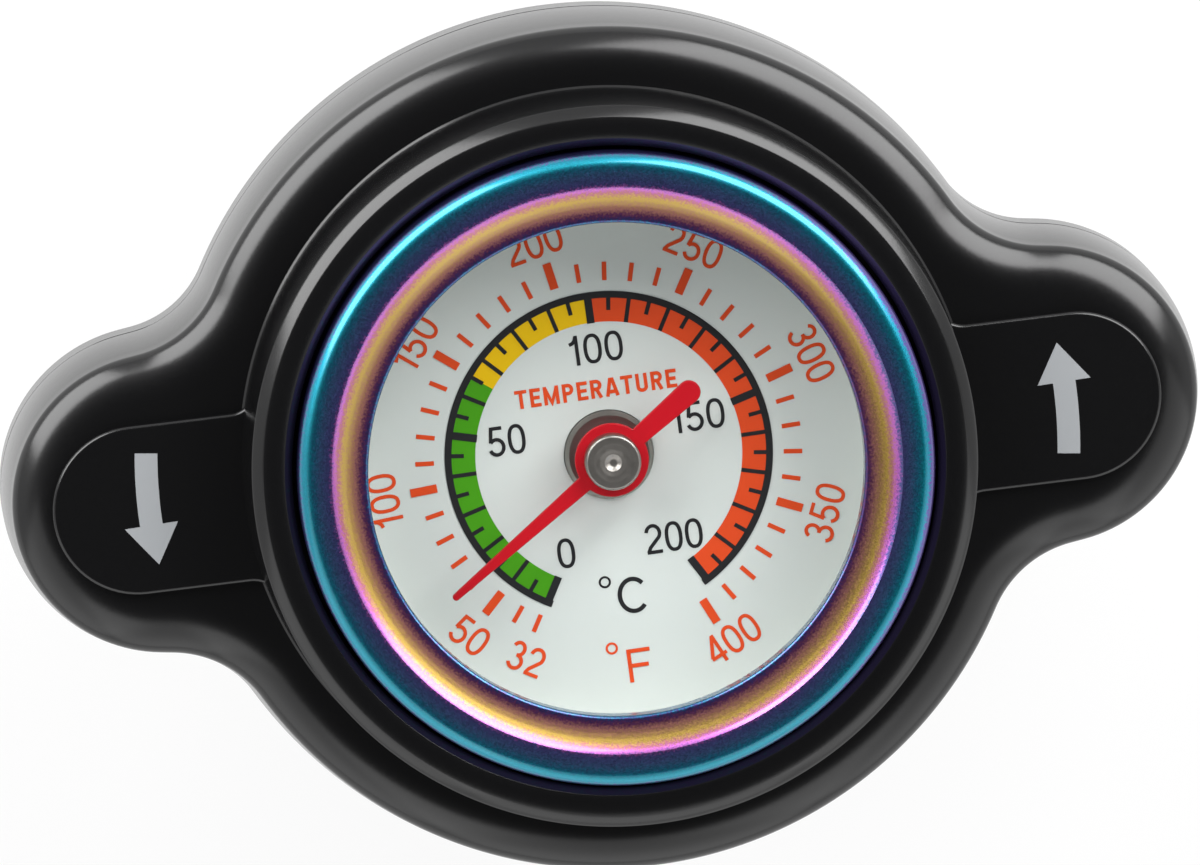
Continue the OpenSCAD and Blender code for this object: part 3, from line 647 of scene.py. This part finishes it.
def build_bezel():
    edge = (BEZEL_R - BEZEL_ROUND, CREST_Z - BEZEL_ROUND)
    # The hollow slope starts level at the lip and steepens to its brink under the flat top
    a, b = math.radians(COVE_TURN), math.radians(BRINK_TURN)
    shelf = CREST_Z - COVE_R * (1 - math.cos(a)) - BRINK_R * (math.cos(a) - math.cos(b))
    cove = (APERTURE_R + BEZEL_LIP, shelf + COVE_R)
    brink = (cove[0] + (COVE_R - BRINK_R) * math.sin(a), cove[1] - (COVE_R - BRINK_R) * math.cos(a))
    seat = LENS_TOP + PUSH_FIT
    inside = BEZEL_R - BEZEL_T
    case = CASE_R + PUSH_FIT
    profile = [(APERTURE_R, seat)]
    profile += arc((APERTURE_R + BEZEL_EDGE, shelf - BEZEL_EDGE), BEZEL_EDGE, 180, 90, 8)
    profile += arc(cove, COVE_R, -90, COVE_TURN - 90, 20)
    profile += arc(brink, BRINK_R, COVE_TURN - 90, BRINK_TURN - 90, 10)[1:]
    profile += [(edge[0] - BEZEL_FLAT, CREST_Z)]
    profile += arc(edge, BEZEL_ROUND, 90, 0, 24)
    profile += [(BEZEL_R, BEZEL_FOOT), (case, BEZEL_FOOT), (case, CASE_CATCH)]
    profile += [(inside, CASE_CATCH), (inside, seat)]
    bezel = turned_piece("bezel_ring", profile, RAINBOW, steps=220, smooth=30)
    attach(bezel, "cap")
    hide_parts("bezel")


# Geometry node trees
def node_tree(name, labels):
    kinds = {"Count": "NodeSocketInt", "Finish": "NodeSocketMaterial"}
    tree = bpy.data.node_groups.new(name, "GeometryNodeTree")
    tree.interface.new_socket("Geometry", in_out="OUTPUT", socket_type="NodeSocketGeometry")
    for label in labels:
        tree.interface.new_socket(label, in_out="INPUT", socket_type=kinds.get(label, "NodeSocketFloat"))
    return tree, tree.nodes.new("NodeGroupInput"), tree.nodes.new("NodeGroupOutput")


def close_tree(tree, shape, into, out):
    real = tree.nodes.new("GeometryNodeRealizeInstances")
    coat = tree.nodes.new("GeometryNodeSetMaterial")
    tree.links.new(shape, real.inputs["Geometry"])
    tree.links.new(real.outputs["Geometry"], coat.inputs["Geometry"])
    tree.links.new(into.outputs["Finish"], coat.inputs["Material"])
    tree.links.new(coat.outputs["Geometry"], out.inputs["Geometry"])


# Bars on a circle, each pointing at the axis
def tick_tree():
    tree, into, out = node_tree(
        "dial_ticks", ("Count", "First", "Step", "Inner", "Outer", "Width", "Level", "Finish"))
    line = add(tree, "GeometryNodeMeshLine", {"Offset": (0, 0, 0)})
    tree.links.new(into.outputs["Count"], line.inputs["Count"])
    long = math_node(tree, "SUBTRACT", into.outputs["Outer"], into.outputs["Inner"])
    both = math_node(tree, "ADD", into.outputs["Outer"], into.outputs["Inner"])
    bar = add(tree, "GeometryNodeMeshGrid", {"Vertices X": 2, "Vertices Y": 2})
    tree.links.new(long, bar.inputs["Size X"])
    tree.links.new(into.outputs["Width"], bar.inputs["Size Y"])
    where = add(tree, "ShaderNodeCombineXYZ")
    tree.links.new(math_node(tree, "MULTIPLY", both, 0.5), where.inputs["X"])
    tree.links.new(into.outputs["Level"], where.inputs["Z"])
    move = add(tree, "GeometryNodeTransform")
    tree.links.new(bar.outputs["Mesh"], move.inputs["Geometry"])
    tree.links.new(where.outputs["Vector"], move.inputs["Translation"])
    index = add(tree, "GeometryNodeInputIndex")
    bearing = math_node(tree, "MULTIPLY", index.outputs["Index"], into.outputs["Step"])
    bearing = math_node(tree, "ADD", bearing, into.outputs["First"])
    turn = add(tree, "ShaderNodeCombineXYZ")
    tree.links.new(bearing, turn.inputs["Z"])
    spread = add(tree, "GeometryNodeInstanceOnPoints")
    tree.links.new(line.outputs["Mesh"], spread.inputs["Points"])
    tree.links.new(move.outputs["Geometry"], spread.inputs["Instance"])
    tree.links.new(turn.outputs["Vector"], spread.inputs["Rotation"])
    close_tree(tree, spread.outputs["Instances"], into, out)
    return tree


def spring_tree():
    tree, into, out = node_tree("wound_spring", ("Turns", "Radius", "Height", "Foot", "Wire", "Finish"))
    spiral = add(tree, "GeometryNodeCurveSpiral", {"Resolution": 48})
    tree.links.new(into.outputs["Turns"], spiral.inputs["Rotations"])
    for end in ("Start Radius", "End Radius"):
        tree.links.new(into.outputs["Radius"], spiral.inputs[end])
    tree.links.new(into.outputs["Height"], spiral.inputs["Height"])
    wire = add(tree, "GeometryNodeCurvePrimitiveCircle", {"Resolution": 16})
    tree.links.new(into.outputs["Wire"], wire.inputs["Radius"])
    sweep = add(tree, "GeometryNodeCurveToMesh", {"Fill Caps": True})
    tree.links.new(spiral.outputs["Curve"], sweep.inputs["Curve"])
    tree.links.new(wire.outputs["Curve"], sweep.inputs["Profile Curve"])
    where = add(tree, "ShaderNodeCombineXYZ")
    tree.links.new(into.outputs["Foot"], where.inputs["Z"])
    move = add(tree, "GeometryNodeTransform")
    tree.links.new(sweep.outputs["Mesh"], move.inputs["Geometry"])
    tree.links.new(where.outputs["Vector"], move.inputs["Translation"])
    close_tree(tree, move.outputs["Geometry"], into, out)
    return tree


def grow(name, tree, values, material, smooth=0):
    holder = bpy.data.objects.new(name + "_seed", bpy.data.meshes.new(name + "_seed"))
    scene.collection.objects.link(holder)
    modifier = holder.modifiers.new("build", "NODES")
    modifier.node_group = tree
    values = dict(values, Finish=material)
    for item in tree.interface.items_tree:
        if item.in_out == "INPUT":
            modifier[item.identifier] = values[item.name]
    holder.update_tag()
    mesh = evaluated_mesh(holder)
    bpy.data.objects.remove(holder)
    mesh.name = name
    return from_mesh(name, mesh, material, smooth)


TICKS = tick_tree()
SPRING = spring_tree()


# Dial print
def print_ticks(name, count, first, step, radii, width, material, lift):
    obj = grow(name, TICKS, dict(
        Count=count, First=math.radians(first), Step=math.radians(step), Inner=radii[0] * MM,
        Outer=radii[1] * MM, Width=width * MM, Level=(DIAL_Z + lift) * MM), material)
    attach(obj, "cap")


def print_band(name, radii, start, end, material, lift):
    n = max(8, int(abs(end - start)))
    points, faces = strip(*[arc((0, 0), r, start, end, n) for r in radii])
    if end < start:
        faces = [tuple(reversed(face)) for face in faces]
    obj = piece(name, at_level(points, DIAL_Z + lift), faces, material)
    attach(obj, "cap")


# Part of an oval, whose corners fill out where square is more than 2
def oval(cx, cy, rx, ry, a0, a1, n=20, square=2.0):
    found = []
    for i in range(n + 1):
        a = math.radians(a0 + (a1 - a0) * i / n)
        c, s = [math.copysign(abs(v) ** (2 / square), v) for v in (math.cos(a), math.sin(a))]
        found.append((cx + rx * c, cy + ry * s))
    return found


# Stroke figures: the width of a box one unit tall, and the middle line of each pen stroke in it
def make_pen():
    h = FIGURE_STROKE / 2
    b = LEGEND_STROKE / 2
    stem = [(b, 0), (b, 1)]
    return {
        "0": (0.6, [oval(0.3, 0.5, 0.24, 0.44, 0, 360, 36, 2.4)]),
        "1": (0.42, [[(0.06, 0.71), (0.17, 0.75), (0.25, 0.83), (0.29, 0.96)], [(0.3, 0), (0.3, 1)]]),
        "2": (0.6, [oval(0.3, 0.69, 0.23, 0.25, 172, -38, 22) + [(0.16, 0.22), (0.08, h)],
                    [(0.03, h), (0.57, h)]]),
        "3": (0.6, [oval(0.28, 0.725, 0.2, 0.215, 160, -95, 20),
                    oval(0.29, 0.285, 0.235, 0.225, 95, -165, 22)]),
        "4": (0.6, [[(0.44, 0), (0.44, 1)], [(0.42, 0.95), (0.05, 0.29)], [(0.02, 0.27), (0.6, 0.27)]]),
        "5": (0.6, [[(0.53, 0.94), (0.16, 0.94), (0.1, 0.47)],
                    oval(0.29, 0.315, 0.24, 0.255, 142, -160, 24)]),
        "C": (0.84, [oval(0.44, 0.5, 0.37, 0.44, 42, 318, 32)]),
        "F": (0.62, [[(h, 0), (h, 1)], [(h, 0.94), (0.62, 0.94)], [(h, 0.5), (0.55, 0.5)]]),
        "T": (0.5, [[(0, 1 - b), (0.5, 1 - b)], [(0.25, 0), (0.25, 0.9)]]),
        "E": (0.46, [stem, [(b, b), (0.46, b)], [(b, 0.5), (0.42, 0.5)], [(b, 1 - b), (0.46, 1 - b)]]),
        "M": (0.68, [stem, [(b, 0.94), (0.34, 0.1), (0.68 - b, 0.94)], [(0.68 - b, 0), (0.68 - b, 1)]]),
        "P": (0.5, [stem, [(b, 1 - b)] + oval(0.27, 0.69, 0.14, 0.215, 90, -90, 12) + [(b, 0.475)]]),
        "R": (0.52, [stem, [(b, 1 - b)] + oval(0.27, 0.7, 0.15, 0.205, 90, -90, 12) + [(b, 0.495)],
                     [(0.27, 0.48), (0.43, 0)]]),
        "A": (0.56, [[(0.07, 0), (0.235, 1 - b), (0.325, 1 - b), (0.49, 0)], [(0.13, 0.25), (0.43, 0.25)]]),
        "U": (0.52, [[(b, 1)] + oval(0.26, 0.27, 0.165, 0.18, 180, 360, 14) + [(0.52 - b, 1)]]),
    }


PEN = make_pen()


# A pen stroke of even width along a line, mitred where the line turns
def ribbon(line, wide):
    closed = math.dist(line[0], line[-1]) < 1e-6
    line = line[:-1] if closed else line
    n = len(line)
    points, faces = [], []
    for i, (x, y) in enumerate(line):
        before = line[i - 1] if i > 0 or closed else line[i]
        after = line[(i + 1) % n] if i < n - 1 or closed else line[i]
        into = Vector((x - before[0], y - before[1]))
        outof = Vector((after[0] - x, after[1] - y))
        into = into.normalized() if into.length else outof.normalized()
        outof = outof.normalized() if outof.length else into
        along = (into + outof).normalized()
        side = along * (wide / 2 / max(MITRE_LIMIT, along.dot(into)))
        points += [(x - side.y, y + side.x), (x + side.y, y - side.x)]
    for i in range(n if closed else n - 1):
        j = (i + 1) % n
        faces.append((2 * i, 2 * i + 1, 2 * j + 1, 2 * j))
    return points, faces


# Figures: text, centre, height, width, and the direction of their tops in degrees
def print_figures(name, figures, material, stroke=FIGURE_STROKE):
    points, faces = [], []
    for text, x, y, tall, wide, tops in figures:
        natural = sum(PEN[letter][0] for letter in text) + FIGURE_SPACE * (len(text) - 1)
        stretch = wide / natural
        turn = math.radians(tops - 90)
        c, s = math.cos(turn), math.sin(turn)
        left = 0.0
        for letter in text:
            width, lines = PEN[letter]
            for k, line in enumerate(lines):
                placed = [((left + u - natural / 2) * stretch, (v - 0.5) * tall) for u, v in line]
                flat, sides = ribbon(placed, stroke * tall)
                flat = [(x + c * u - s * v, y + s * u + c * v) for u, v in flat]
                join(points, faces, at_level(flat, DIAL_Z + PRINT_LIFT + STROKE_LIFT * k), sides)
            left += width + FIGURE_SPACE
    obj = piece(name, points, faces, material)
    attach(obj, "cap")


def celsius(t):
    return CELSIUS_ZERO + CELSIUS_STEP * t


def fahrenheit(t):
    return FAHRENHEIT_32 + FAHRENHEIT_STEP * (t - 32)


# A figure on the outer ring, with its top outwards or towards the axis
def ring_figure(text, radius, bearing, wide, outward):
    a = math.radians(bearing)
    tops = bearing if outward else bearing + 180
    return (text, radius * math.cos(a), radius * math.sin(a), FIGURE_H, wide, tops)


def print_degree(name, x, y, material):
    n = DEGREE_STEPS
    rim = [p for r in DEGREE_R for p in arc((x, y), r, 0, 360, n)[:-1]]
    faces = [(i, n + i, n + (i + 1) % n, (i + 1) % n) for i in range(n)]
    obj = piece(name, at_level(rim, DIAL_Z + PRINT_LIFT), faces, material)
    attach(obj, "cap")


def build_dial_print():
    for name, t0, t1, material in (
            ("band_green", 0, 65, PRINT_GREEN), ("band_yellow", 65, 100, PRINT_YELLOW),
            ("band_red", 100, 200, PRINT_RED)):
        print_band(name, BAND_R, celsius(t0), celsius(t1), material, PRINT_LIFT)
    first, last = celsius(-SCALE_LINE_PAST), celsius(200 + SCALE_LINE_PAST)
    print_band("scale_line", SCALE_LINE_R, first, last, PRINT_BLACK, INK_LIFT)
    ten, fifty = 10 * CELSIUS_STEP, 50 * CELSIUS_STEP
    print_ticks("scale_fives", 20, celsius(5), ten, FIVES_R, FINE_W, PRINT_BLACK, INK_LIFT)
    print_ticks("scale_tens", 21, celsius(0), ten, TENS_R, FINE_W, PRINT_BLACK, INK_LIFT)
    print_ticks("scale_fifties", 5, celsius(0), fifty, FIFTIES_R, BOLD_W, PRINT_BLACK, BOLD_LIFT)
    ten, fifty = 10 * FAHRENHEIT_STEP, 50 * FAHRENHEIT_STEP
    fine, bold = (OUTER_TENS_R, OUTER_FINE_W), (OUTER_FIFTIES_R, OUTER_BOLD_W)
    print_ticks("outer_tens", 37, fahrenheit(40), ten, *fine, PRINT_RED, PRINT_LIFT)
    print_ticks("outer_fifties", 8, fahrenheit(50), fifty, *bold, PRINT_RED, INK_LIFT)
    print_ticks("outer_first", 1, fahrenheit(32), 0, *fine, PRINT_RED, PRINT_LIFT)
    up = 90 + DIAL_TURN
    print_figures("celsius_figures", [
        ("0", -2.59, -4.54, FIGURE_H, 0.86, up), ("50", -4.83, 1.27, FIGURE_H, 1.83, up),
        ("100", -0.07, 5.2, FIGURE_H, 2.66, up), ("150", 4.44, 1.34, FIGURE_H, 2.66, up),
        ("200", 2.66, -4.34, FIGURE_H, 2.8, up), ("C", 0.37, -6.95, 1.78, 1.5, up)], PRINT_BLACK)
    print_figures("outer_figures", [
        ring_figure("32", 10.7, 241.6, 1.75, False), ring_figure("50", 11.05, 226, 1.83, False),
        ring_figure("100", 11.05, 185, 2.66, True), ring_figure("150", 10.85, 143.3, 2.66, True),
        ring_figure("200", 10.85, 103.1, 2.8, True), ring_figure("250", 10.85, 61.3, 2.8, True),
        ring_figure("300", 10.9, 19.7, 2.8, True), ring_figure("350", 10.85, -22.2, 2.8, False),
        ring_figure("400", 10.85, -63, 2.8, False), ("F", 0.32, -10.37, 1.63, 1.15, up)], PRINT_RED)
    print_figures("legend", [("TEMPERATURE", -0.27, 3.22, 0.9, 7.86, up)], PRINT_RED, LEGEND_STROKE)
    print_degree("celsius_degree", -0.9, -6.17, PRINT_BLACK)
    print_degree("outer_degree", -0.93, -9.42, PRINT_RED)


# Turn arrows printed on the pads: a curved bar and a head
def build_arrows():
    for name, pad in (("turn_arrow_right", 0), ("turn_arrow_left", 180)):
        bar = [arc((0, 0), r, pad + ARROW_TAIL, pad + ARROW_NECK, ARROW_STEPS) for r in ARROW_BAR_R]
        points, faces = strip(*bar)
        corners = [(r, ARROW_NECK) for r in ARROW_HEAD_R] + [(ARROW_TIP_R, ARROW_TIP)]
        turns = [(r, math.radians(pad + a)) for r, a in corners]
        join(points, faces, [(r * math.cos(a), r * math.sin(a)) for r, a in turns], [(0, 1, 2)])
        arrow = piece(name, at_level(points, FLANGE_Z + PAD_H + ARROW_LIFT), faces, PRINT_SILVER)
        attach(arrow, "cap")


# Pointer: needle, hub and a tail that widens to a round end, with its edges eased
def build_pointer():
    a_needle = math.degrees(math.asin(NEEDLE_HALF_W / HUB_R))
    a_tail = math.degrees(math.asin(TAIL_HALF_W / HUB_R))
    flat = arc((NEEDLE_END - NEEDLE_TIP_R, 0), NEEDLE_TIP_R, -90, 90, 8)
    flat += arc((0, 0), HUB_R, a_needle, 180 - a_tail, 40)
    flat += arc((TAIL_END_R - TAIL_END, 0), TAIL_END_R, 90, 270, 24)
    flat += arc((0, 0), HUB_R, 180 + a_tail, 360 - a_needle, 40)
    turn = math.radians(POINTER_REST)
    c, s = math.cos(turn), math.sin(turn)

    def ring(inset, z):
        found = []
        for i, (x, y) in enumerate(flat):
            before, after = flat[i - 1], flat[(i + 1) % len(flat)]
            side = Vector((after[1] - before[1], before[0] - after[0])).normalized()
            px, py = x - side.x * inset, y - side.y * inset
            found.append((c * px - s * py, s * px + c * py, z))
        return found
    foot, top, ease = low("pointer"), high("pointer"), POINTER_EASE
    levels = [(0, foot), (0, top - ease), (0.3 * ease, top - 0.3 * ease), (ease, top), (1.4 * ease, top)]
    points, faces = stack([ring(inset, z) for inset, z in levels])
    blade = piece("pointer_blade", points, faces, POINTER_RED, smooth=50)
    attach(blade, "pointer_group")
    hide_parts("pointer")


# Boss: a button with a rounded rim and a staked dimple
def build_boss():
    foot, top = low("pointer_boss"), high("pointer_boss")
    rim = BOSS_R - BOSS_EDGE
    profile = [(0, foot), (BOSS_R, foot)]
    profile += arc((rim, top - BOSS_EDGE), BOSS_EDGE, 0, 90, 8)
    profile += [(rim - EDGE_BREAK, top)]
    profile += [(r, top - depth) for r, depth in DIMPLE]
    boss = turned_piece("boss_button", profile, TURNED_STEEL, steps=72, smooth=40)
    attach(boss, "pointer_group")
    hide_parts("pointer_boss")


def wind(name, foot, top, turns, radius, wire):
    return grow(name, SPRING, dict(
        Turns=turns, Radius=radius * MM, Height=(top - foot - wire) * MM, Foot=(foot + wire / 2) * MM,
        Wire=wire / 2 * MM), SPRING_STEEL, smooth=60)


def build_springs():
    foot, top = low("main_spring"), high("main_spring")
    spring = wind("main_spring_wire", foot, top, MAIN_TURNS, MAIN_R, MAIN_WIRE)
    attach(spring, "cage")
    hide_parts("main_spring")
    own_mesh(spring)
    foot, top = low("vacuum_spring"), high("vacuum_spring")
    spring = wind("vacuum_spring_wire", foot, top, VACUUM_TURNS, VACUUM_R, VACUUM_WIRE)
    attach(spring, "cap")
    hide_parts("vacuum_spring")
    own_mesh(spring)


build_cover()
build_base_plate()
build_bezel()
build_dial_print()
build_arrows()
build_pointer()
build_boss()
build_springs()

# The nodes that keep their own mesh
for material, names in (
        (DARK_SCREW, ["base_screws"]),
        (GLASS, ["lens"]),
        (DIAL_WHITE, ["dial_plate"]),
        (SPACER, ["spacer_ring"]),
        (BIMETAL, ["bimetal_coil"]),
        (PRESSED_STEEL, ["gauge_case", "locking_shell", "spring_cage", "valve_plate"]),
        (SPRING_STEEL, ["diaphragm", "lock_washer", "cage_clip"]),
        (BLACK_RUBBER, ["lens_gasket", "case_gasket", "neck_gasket", "main_seal"]),
        (TURNED_STEEL, ["spindle_bush", "spindle", "coil_hub", "coil_anchor", "probe_stem"]),
        (BRASS, ["lock_nut", "probe_nut", "seal_eyelet", "vacuum_disc"])):
    for name in names:
        mesh = nodes[name].data
        mesh.materials.clear()
        mesh.materials.append(material)


# Studio: white floor, world, lamps and camera. The lamps' sizes and all distances are in metres.
VIEW_TILT = math.radians(8.4)
VIEW_TOWARD = math.radians(110.8)
VIEW_ROLL = math.radians(6.5)
CAMERA_FAR = 0.7
CAMERA_AIM_Z = 19.05
CAMERA_AIM_RIGHT = 0.117
FRAME_W = 58.5
SENSOR_W = 36
FLOOR_HALF = 3000
FLOOR_Z = -0.02
FLOOR_GLOW = 0.85
ROOM_LIGHT = 0.3
TENT_DARK = 0.05
TENT_PALE = 0.74
TENT_DARK_WITHIN = 14
TENT_PALE_BEYOND = 64
LAMP_AIM_Z = 20


# A direction from a bearing, counted from the x axis, and a rise over the floor, both in radians
def direction(bearing, rise):
    return Vector((
        math.cos(bearing) * math.cos(rise), math.sin(bearing) * math.cos(rise), math.sin(rise)))


VIEW_WAY = direction(VIEW_TOWARD, math.pi / 2 - VIEW_TILT)


def seen_rays(tree):
    rays = add(tree, "ShaderNodeLightPath")
    seen = math_node(tree, "MAXIMUM", rays.outputs["Is Camera Ray"], rays.outputs["Is Glossy Ray"])
    return math_node(tree, "MAXIMUM", seen, rays.outputs["Is Transmission Ray"])


def build_floor():
    material, tree, shader = finish("floor_white", (0.82, 0.82, 0.82, 1), Roughness=0.9)
    white = add(tree, "ShaderNodeEmission")
    pale = add(tree, "ShaderNodeMixShader")
    tree.links.new(math_node(tree, "MULTIPLY", seen_rays(tree), FLOOR_GLOW), pale.inputs["Fac"])
    tree.links.new(shader.outputs["BSDF"], pale.inputs[1])
    tree.links.new(white.outputs["Emission"], pale.inputs[2])
    # From below the floor is clear, so the underside can be looked at
    side = add(tree, "ShaderNodeNewGeometry")
    clear = add(tree, "ShaderNodeBsdfTransparent")
    mix = add(tree, "ShaderNodeMixShader")
    tree.links.new(side.outputs["Backfacing"], mix.inputs["Fac"])
    tree.links.new(pale.outputs["Shader"], mix.inputs[1])
    tree.links.new(clear.outputs["BSDF"], mix.inputs[2])
    tree.links.new(mix.outputs["Shader"], tree.nodes["Material Output"].inputs["Surface"])
    h = FLOOR_HALF
    corners = at_level([(-h, -h), (h, -h), (h, h), (-h, h)], FLOOR_Z)
    floor = piece("floor", corners, [(0, 1, 2, 3)], material)


def build_world():
    world = bpy.data.worlds.new("studio")
    world.use_nodes = True
    scene.world = world
    tree = world.node_tree
    room = tree.nodes["Background"]
    room.inputs["Color"].default_value = (1, 1, 1, 1)
    # A pale tent stands round the object; its opening is where flat tops mirror the camera's view
    place = add(tree, "ShaderNodeTexCoord")
    toward = add(tree, "ShaderNodeVectorMath", operation="DOT_PRODUCT")
    toward.inputs[1].default_value = (-VIEW_WAY.x, -VIEW_WAY.y, VIEW_WAY.z)
    tree.links.new(place.outputs["Generated"], toward.inputs[0])
    tent = add(tree, "ShaderNodeMapRange", {
        "From Min": math.cos(math.radians(TENT_DARK_WITHIN)), "To Min": TENT_DARK,
        "From Max": math.cos(math.radians(TENT_PALE_BEYOND)), "To Max": TENT_PALE},
        interpolation_type="SMOOTHSTEP")
    tree.links.new(toward.outputs["Value"], tent.inputs["Value"])
    level = add(tree, "ShaderNodeMix", {"A": ROOM_LIGHT}, data_type="FLOAT")
    tree.links.new(seen_rays(tree), level.inputs["Factor"])
    tree.links.new(tent.outputs["Result"], level.inputs["B"])
    tree.links.new(level.outputs["Result"], room.inputs["Strength"])


def softbox(name, bearing, rise, distance, wide, tall, radiance):
    lamp = bpy.data.lights.new(name, "AREA")
    lamp.shape = "RECTANGLE"
    lamp.size = wide
    lamp.size_y = tall
    lamp.energy = radiance * math.pi * wide * tall
    obj = bpy.data.objects.new(name, lamp)
    scene.collection.objects.link(obj)
    way = direction(math.radians(bearing), math.radians(rise))
    obj.location = Vector((0, 0, LAMP_AIM_Z * MM)) + distance * way
    obj.rotation_euler = way.to_track_quat("Z", "Y").to_euler()
    obj.visible_camera = False


def build_lamps():
    box = dict(distance=1.0, wide=0.85, tall=0.8, radiance=6.0)
    softbox("softbox_north_west", bearing=131.5, rise=26, **box)
    softbox("softbox_north_east", bearing=45.5, rise=35, **box)
    card = dict(rise=33, distance=1.1, wide=0.95, tall=1.2, radiance=0.72)
    softbox("card_south", bearing=270, **card)
    softbox("card_south_east", bearing=318, **card)
    softbox("card_south_west", bearing=222, **card)


def build_camera():
    back = VIEW_WAY
    right = Vector((math.sin(VIEW_ROLL), math.cos(VIEW_ROLL), 0)).cross(back).normalized()
    up = back.cross(right)
    aim = Vector((0, 0, CAMERA_AIM_Z * MM)) + right * (CAMERA_AIM_RIGHT * MM)
    data = bpy.data.cameras.new("photo_camera")
    data.sensor_width = SENSOR_W
    data.lens = SENSOR_W * CAMERA_FAR / (FRAME_W * MM)
    data.clip_start = 0.01
    data.clip_end = 50
    camera = bpy.data.objects.new("photo_camera", data)
    scene.collection.objects.link(camera)
    turn = Matrix((right, up, back)).transposed().to_4x4()
    camera.matrix_world = Matrix.Translation(aim + back * CAMERA_FAR) @ turn
    scene.camera = camera


build_floor()
build_world()
build_lamps()
build_camera()
